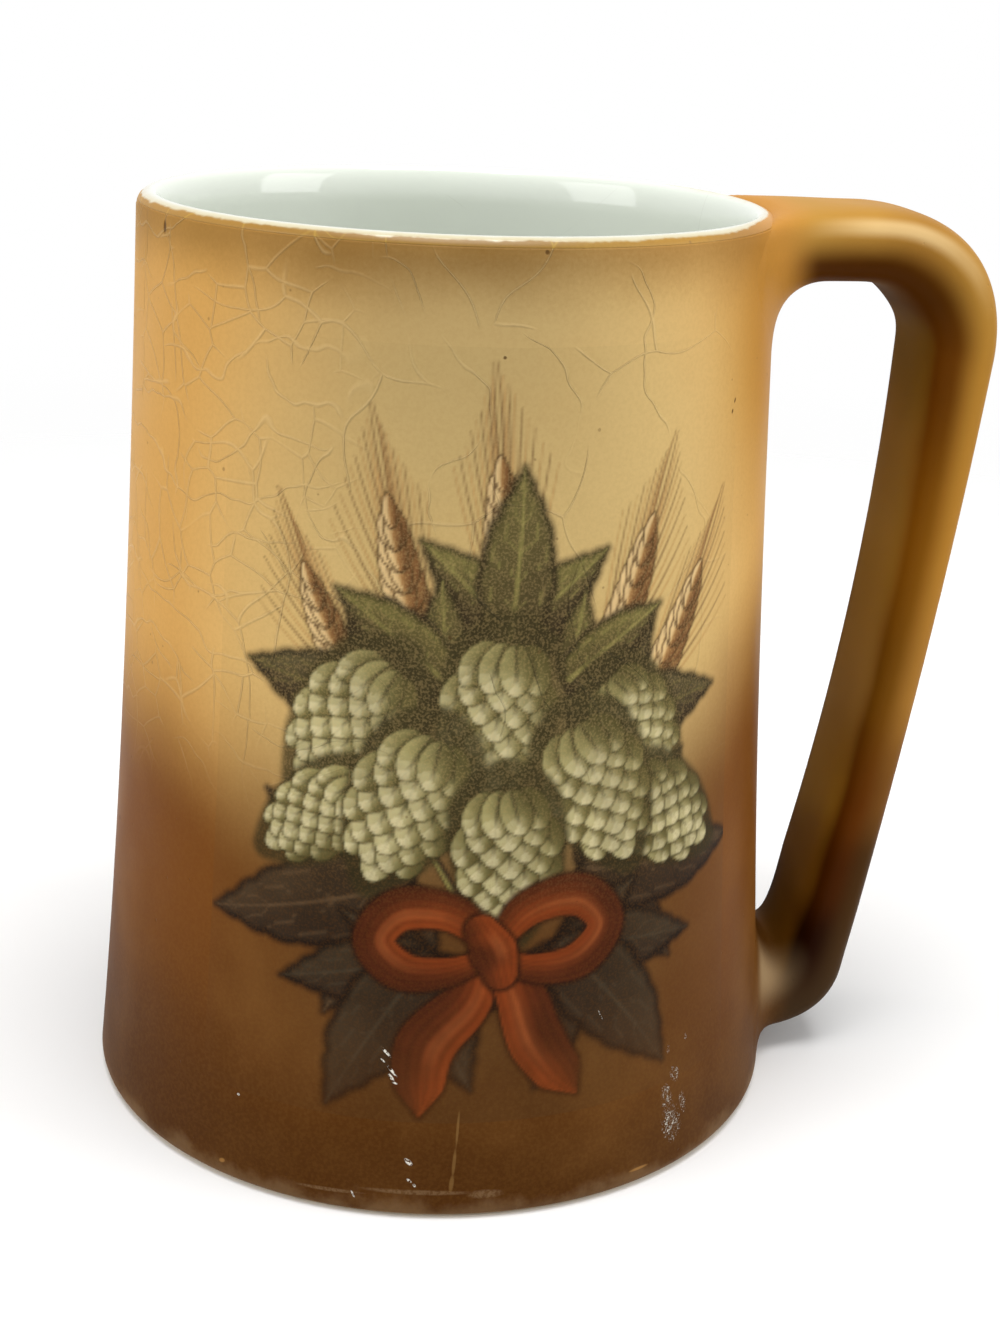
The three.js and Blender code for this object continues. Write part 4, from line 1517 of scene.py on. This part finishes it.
FOOT_CHIPS = ((-61.9, 2.3, 1.7, 0.24, 1), (-130.5, 2.4, 0.55, 0.35, 20))
DENTS = (
    (-154.6, 111.6, 0.9, 0.5, 90),
    (-41.5, 94.8, 0.4, 0.22, 60),
    (-42.3, 93.6, 0.35, 0.22, 60),
    (-89.0, 101.7, 0.26, 0.22, 0),
)


# %% [markdown]
# A painting function takes the object coordinates and gives a colour, a roughness and a height for the
# bump. The ground's own function serves the barrel, the transfer and the handle, and the lining where
# the ochre laps over its lip.

# %% The glazed ground
WIDE_CRACKS = {"Cells": 70.0, "Wander": 0.016, "Width": 0.016, "Gaps": 0.50}
TIGHT_CRACKS = {"Cells": 185.0, "Wander": 0.009, "Width": 0.042, "Gaps": 0.47}
LEVEL_CRACKS = {"Spacing": 0.0062, "Sway": 0.026, "Gaps": 0.45}
STEEP_CRACKS = {"Spacing": 0.012, "Sway": 0.040, "Gaps": 0.49}
STEEP_TURN = (0.0, 0.0, math.radians(62))
LEFT_FROM = (-0.30, -0.70)
LEFT_TO = (-2.5, -1.8)
ABOVE_BROWN = (0.045, 0.062)
NOT_ON_SEAM = (3.10, 2.90)
NOT_BY_HANDLE = (0.85, 0.45)


def paint_crackle(where):
    """Cells and long cracks above the brown, most to the left of the print and none by the handle."""
    flat = where["Unrolled"]
    turned = wire("ShaderNodeMapping", {"Vector": flat, "Rotation": STEEP_TURN})
    wide, tight, level, steep = (
        use_group(group, {"Vector": vector, **cracks})["Lines"]
        for group, vector, cracks in (
            (crackle_group, flat, WIDE_CRACKS),
            (crackle_group, flat, TIGHT_CRACKS),
            (wavy_group, flat, LEVEL_CRACKS),
            (wavy_group, turned, STEEP_CRACKS),
        )
    )
    left = ramp(where["Angle"], *LEFT_FROM) * ramp(where["Angle"], *LEFT_TO)
    dense = maths("MAXIMUM", tight, level) * left
    lines = maths("MAXIMUM", maths("MAXIMUM", wide, steep), dense)
    lines = lines * ramp(where["Height"], *ABOVE_BROWN)
    lines = lines * ramp(maths("ABSOLUTE", where["Angle"]), *NOT_ON_SEAM)
    return lines * ramp(where["Handle Side"], *NOT_BY_HANDLE)


GRAIN = (2100.0, 2.0, 0.6)
CLOUDS = (60.0, 3.0)
PITS = (300.0, 0.10, 0.035)
SPECKS = (700.0, 0.16, 0.05)
RAGGED = (2300.0, 2.0, 0.7)
POWDER = (3800.0, 3.0, 0.8)
PATCHES = (900.0, 2.0)
WORN_EDGE = (150.0, 4.0, 0.6)
WORN_SPAN = (0.0074, 0.0046)
ROUGHER = (45.0, 2.0)
PEEL = (420.0, 1.0)
SWELL = (60.0, 1.0)


def paint_ground(vector, ink=None, crackled=True):
    """The sprayed ground with its crackle, pinholes and wear: colour, roughness and height."""
    where = use_group(place_group, {"Vector": vector})
    base = use_group(ground_group, {"Vector": vector})["Color"]
    base = blend(ramp(noise(vector, *GRAIN), 0.35, 0.7, 0.0, 0.08), base, colour("8F6830"))
    base = blend(ramp(noise(vector, *CLOUDS), 0.4, 0.75, 0.0, 0.10), base, colour("B98545"))

    lines = 0.0
    if crackled:
        lines = paint_crackle(where)
        base = blend(lines * 0.17, base, colour("EBCF98"))
    if ink:
        base = ink(vector, where, base)

    pits = dots(vector, *PITS) * 0.75
    dark = maths("MAXIMUM", pits, dots(vector, *SPECKS) * 0.35)
    dark = maths("MAXIMUM", dark, marks(where, DENTS) * 0.8)
    base = blend(dark, base, colour("4A2D12"))

    ragged = noise(vector, *RAGGED)
    scratched = marks(where, SCRATCHES) * ramp(ragged, 0.40, 0.52)
    scuffs = marks(where, SCUFFS)
    powder = noise(vector, *POWDER) + scuffs * 0.10
    patches = ramp(noise(vector, *PATCHES), 0.42, 0.58, 0.12, 1.0)
    scuffed = ramp(powder, 0.60, 0.69, 0.0, 0.9) * patches * ramp(scuffs, 0.0, 0.5)
    white = maths("MAXIMUM", scratched, scuffed)
    base = blend(marks(where, RUNS) * 0.22, base, colour("B08A50"))

    worn = ramp(where["Height"] + noise(vector, *WORN_EDGE) * 0.0085, *WORN_SPAN)
    streaks = marks(where, FOOT_STREAKS) * ramp(ragged, 0.35, 0.60, 0.3, 0.8)
    base = blend(maths("MAXIMUM", worn * 0.40, streaks * 0.6), base, colour("84694A"))
    base = blend(marks(where, FOOT_CHIPS) * 0.6, base, colour("A87A40"))
    base = blend(white, base, colour("E4DFD2"))

    roughness = ramp(noise(vector, *ROUGHER), 0.3, 0.7, 0.38, 0.50) + white * 0.3
    height = lines * 1.1 - dark * 0.9 - white * 0.8
    height = height + noise(vector, *PEEL) * 0.10 + noise(vector, *SWELL) * 0.8
    return where, base, roughness, height


# %% Materials of the barrel and the transfer
SATIN = 0.03
GLOSSY = 0.5
GROUND_BUMP = 0.12 * MM
HANDLE_BUMP = 0.10 * MM
LINING_BUMP = 0.25 * MM


def glazed_material(name, paint, specular, bump_depth):
    """A material whose colour, roughness and bump come from a painting function."""
    material, tree = new_material(name)
    vector = wire("ShaderNodeTexCoord", output="Object", tree=tree)
    base, roughness, height = paint(vector)
    bump = wire("ShaderNodeBump", {"Strength": 1.0, "Distance": bump_depth, "Height": height})
    looks = {"Base Color": base, "Roughness": roughness, "Normal": bump, "Specular IOR Level": specular}
    shader = wire("ShaderNodeBsdfPrincipled", looks)
    add_node(tree, "ShaderNodeOutputMaterial", {"Surface": shader})
    print(f"material {name}: {len(tree.nodes)} nodes")
    return material


def paint_barrel(vector):
    """The ground, and bare clay on the foot ring that stood on the kiln's shelf."""
    where, base, roughness, height = paint_ground(vector)
    bare = ramp(where["Height"], 0.0006, 0.0001)
    return blend(bare, base, colour("CDB68F")), roughness + bare * 0.35, height


def lay_ink(vector, where, base):
    """The transfer's ink over the ground: stippled, a little uneven, and worn towards the foot."""
    node = add_node(vector.tree, "ShaderNodeAttribute", attribute_name="ink", attribute_type="GEOMETRY")
    ink = outputs_of(node)
    stipple = ramp(noise(vector, 3600.0, 1.0), 0.30, 0.60, 0.86, 1.0)
    share = ink["Alpha"] * stipple * ramp(where["Height"], 0.008, 0.030, 0.62, 0.97)
    mottle = ramp(noise(vector, 170.0, 3.0, 0.6), 0.3, 0.7, 0.84, 1.12)
    shaded = wire("ShaderNodeVectorMath", {0: ink["Color"], "Scale": mottle}, operation="SCALE")
    return blend(share, base, shaded)


def paint_transfer(vector):
    return paint_ground(vector, lay_ink)[1:]


barrel_finish = glazed_material("sprayed_barrel", paint_barrel, SATIN, GROUND_BUMP)
transfer_finish = glazed_material("printed_transfer", paint_transfer, SATIN, GROUND_BUMP)


# %% [markdown]
# The handle was sprayed the same way, ochre at the top and dark brown at its foot. Three runs of colour
# are laid along the strap, each from the rim (0) to the foot (1): its outer side, the corner where the
# side turns in, and its inner face. The corner's run is partly the spray's brown and partly painted
# shade, darkest under the top run and down the inner corner. A painted highlight stands for the glaze's
# sheen on the upper bend, and another on the front of the lower root.

# %% The handle's colours
SIDE_COLOURS = (
    (0.00, "B0853A"),
    (0.12, "B08238"),
    (0.17, "A27430"),
    (0.22, "AC7E34"),
    (0.30, "AC7B2F"),
    (0.45, "AE7A2E"),
    (0.60, "A0702E"),
    (0.70, "72491C"),
    (0.78, "452C10"),
    (1.00, "3F2E1C"),
)
# the corner's run: the spray's brown with painted shade, darkest under the top run and low in the inner
# corner
CORNER_BROWN_AND_SHADE = (
    (0.00, "6A4010"),
    (0.08, "4A2600"),
    (0.20, "4C2800"),
    (0.30, "643805"),
    (0.45, "80500C"),
    (0.60, "754A0C"),
    (0.72, "5E2F02"),
    (0.80, "461F00"),
    (0.88, "240B00"),
    (1.00, "44301C"),
)
INNER_COLOURS = (
    (0.00, "704A1C"),
    (0.20, "5A3C12"),
    (0.30, "82621A"),
    (0.38, "947028"),
    (0.48, "A07A2C"),
    (0.62, "AA803A"),
    (0.72, "A87A24"),
    (0.80, "875A13"),
    (0.86, "704608"),
    (0.92, "4A2E06"),
    (1.00, "4E3C26"),
)
CORNER_TO_SIDE = (-0.42, 0.46)
CORNER_TO_INNER = (-0.76, -1.02)
# where the painted highlights lie: on the upper bend, and on the front of the lower root
SHEEN_FROM = (0.05, 0.13)
SHEEN_TO = (0.25, 0.16)
SHEEN_LOW = (0.24, 0.52)
SHEEN_HIGH = (0.86, 0.62)
SHEEN_EDGE = (0.55, 0.95)
OFF_WALL = (0.0001, 0.0056)
ROOT_HIGHLIGHT_PLACE = (AXIS_X + 44.6 * MM, -11.0 * MM, 13.3 * MM)
ROOT_HIGHLIGHT_SPAN = (7.0 * MM, 0.4 * MM)
ROOT_OFF_WALL = (0.0001, 0.0010)
ROUGH_INNER = (-0.6, -0.95)


def colour_run(value, stops):
    """Colours laid out along a value from 0 to 1."""
    node = add_node(value.tree, "ShaderNodeValToRGB", [value])
    node.color_ramp.interpolation = "EASE"
    for _ in stops[2:]:
        node.color_ramp.elements.new(0.5)
    for element, (place, code) in zip(node.color_ramp.elements, stops):
        element.position = place
        element.color = colour(code)
    return Wire(node.outputs[0])


def paint_handle(vector):
    """The strap's own spray, ochre outside and dark at the inner corners, partly as painted shade, with
    painted highlights, fades into the barrel's.
    """
    where, base, roughness, height = paint_ground(vector, crackled=False)
    given = {"attribute_name": "strap", "attribute_type": "GEOMETRY"}
    strap = split(wire("ShaderNodeAttribute", output="Vector", tree=vector.tree, **given))
    drift = noise(vector, 60.0) - 0.5
    along = strap[0] + drift * 0.08
    outward = strap[1] + drift * 0.2
    # the corner's colours are partly painted shade
    corner = colour_run(along, CORNER_BROWN_AND_SHADE)
    own = blend(ramp(outward, *CORNER_TO_SIDE), corner, colour_run(along, SIDE_COLOURS))
    own = blend(ramp(outward, *CORNER_TO_INNER), own, colour_run(along, INNER_COLOURS))
    # painted highlight on the upper bend, standing in for the glaze's sheen
    sheen_along = ramp(along, *SHEEN_FROM) * ramp(along, *SHEEN_TO)
    sheen_up = ramp(outward, *SHEEN_LOW) * ramp(outward, *SHEEN_HIGH)
    painted_sheen = sheen_along * sheen_up * ramp(maths("ABSOLUTE", strap[2]), *SHEEN_EDGE)
    own = blend(painted_sheen * 0.6, own, colour("EACB92"))
    off_wall = ramp(where["Stand-off"], *OFF_WALL)
    base = blend(off_wall, base, own)
    # painted highlight on the front of the lower root, standing in for the glaze's sheen
    far = wire("ShaderNodeVectorMath", [vector, ROOT_HIGHLIGHT_PLACE], "Value", operation="DISTANCE")
    root = ramp(far, *ROOT_HIGHLIGHT_SPAN) * ramp(where["Stand-off"], *ROOT_OFF_WALL)
    base = blend(root * 0.5, base, colour("BCA27A"))
    inner_face = ramp(strap[1], *ROUGH_INNER) * off_wall
    return base, roughness + inner_face * 0.3, height


handle_finish = glazed_material("sprayed_handle", paint_handle, SATIN, HANDLE_BUMP)


# %% [markdown]
# The inside was glazed white by pouring, and the glaze rolls over the lip. The ochre of the outside was
# sprayed up to it and laps over its outer edge, so the lining's material holds both and finds the edge
# between them by the distance from the mug's axis.

# %% The lining's glaze
LINING_CRACKS = {"Cells": 40.0, "Wander": 0.008, "Width": 0.004, "Gaps": 0.52}
OCHRE_EDGE = 37.70 * MM
OCHRE_EDGE_BY_HANDLE = 37.1 * MM
OCHRE_SPAN = (-0.10 * MM, 0.20 * MM)
CREAM_SPAN = (-1.1 * MM, 0.0)
# painted shade: where grey lies on the lip's top
LIP_CREST_SHADE = (36.2 * MM, 36.9 * MM)
ON_LIP = (0.1105, 0.1125)
ON_CUP_WALL = (0.012, 0.020)
AT_HANDLE = (0.72, 0.94)


def paint_lining(vector):
    """White glaze, with the ochre of the outside lapping over the lip, most of all at the handle, and painted
    shade in grey on the lip's top.
    """
    where = use_group(place_group, {"Vector": vector})
    base = blend(noise(vector, 30.0), colour("E6EAE1"), colour("DCE2D6"))
    base = blend(dots(vector, 260.0, 0.09, 0.03) * 0.6, base, colour("6B5A3C"))
    lines = use_group(crackle_group, {"Vector": where["Unrolled"], **LINING_CRACKS})["Lines"]
    base = blend(lines * ramp(where["Height"], *ON_CUP_WALL) * 0.18, base, colour("8C8570"))

    at_handle = ramp(where["Handle Side"], *AT_HANDLE)
    ragged = (noise(vector, 260.0, 3.0, 0.7) - 0.5) * 0.0008
    beyond = where["Radius"] - (ramp(at_handle, 0.0, 1.0, OCHRE_EDGE, OCHRE_EDGE_BY_HANDLE) + ragged)
    high = ramp(where["Height"], *ON_LIP)
    # painted shade: grey over the lip's top, toning down where the top lamp falls on it
    crest = ramp(where["Radius"], *LIP_CREST_SHADE) * high
    base = blend(crest * 0.55, base, colour("C9CBBE"))
    cream = ramp(beyond, *CREAM_SPAN) * high
    base = blend(cream * 0.8, base, colour("C9B98C"))
    _, ground, ground_rough, _ = paint_ground(vector)
    ground = blend(1.0, ground, colour("FFF87C"), "MULTIPLY")
    covered = ramp(beyond, *OCHRE_SPAN) * high
    base = blend(covered, base, ground)
    roughness = wire("ShaderNodeMix", {0: covered, 2: 0.07, 3: ground_rough}, data_type="FLOAT")
    return base, roughness, noise(vector, 55.0, 1.0)


lining_finish = glazed_material("white_glaze", paint_lining, GLOSSY, LINING_BUMP)


# %% [markdown]
# ## The pieces
# All four pieces ride on the one body. Three of them stand in for solids of the part. The transfer has
# no solid, as it is only ink, and lies on the barrel. The strap's points also keep their own place along,
# outward and across the strap, which is what its colours are laid by.

# %% Make the pieces
barrel = turn_on_wheel("mug_barrel", barrel_profile, 384, barrel_finish)
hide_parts("mug_body")

lining = turn_on_wheel("white_lining", lining_profile, 320, lining_finish)
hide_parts("inner_glaze")

handle_mesh = bpy.data.meshes.new("strap_handle")
handle_mesh.from_pydata((handle_points + [AXIS_X, 0, 0]).tolist(), [], handle_faces.tolist())
handle_mesh.shade_smooth()
handle_mesh.materials.append(handle_finish)
handle = seat("strap_handle", handle_mesh)
along, outward = place_on_strap(handle_points[:, 0], handle_points[:, 2])
half_thickness = np.interp(along, even, line_thickness) / 2
across = handle_points[:, 1] / (STRAP_WIDTH / 2)
strap_place = np.stack([along / even[-1], outward / half_thickness, across], 1)
strap_attribute = handle_mesh.attributes.new("strap", "FLOAT_VECTOR", "POINT")
strap_attribute.data.foreach_set("vector", strap_place.astype(np.float32).ravel())
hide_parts("handle", "upper_luting_slip", "lower_luting_slip")

build_transfer("printed_transfer", transfer_finish)

# %% Sizes
bpy.context.scene.view_settings.view_transform = "Standard"
visual_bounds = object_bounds()
for name, (low, high) in (("solids", cad_bounds), ("pieces", visual_bounds)):
    print(name, [round(x / MM, 2) for x in low], [round(x / MM, 2) for x in high], "mm")
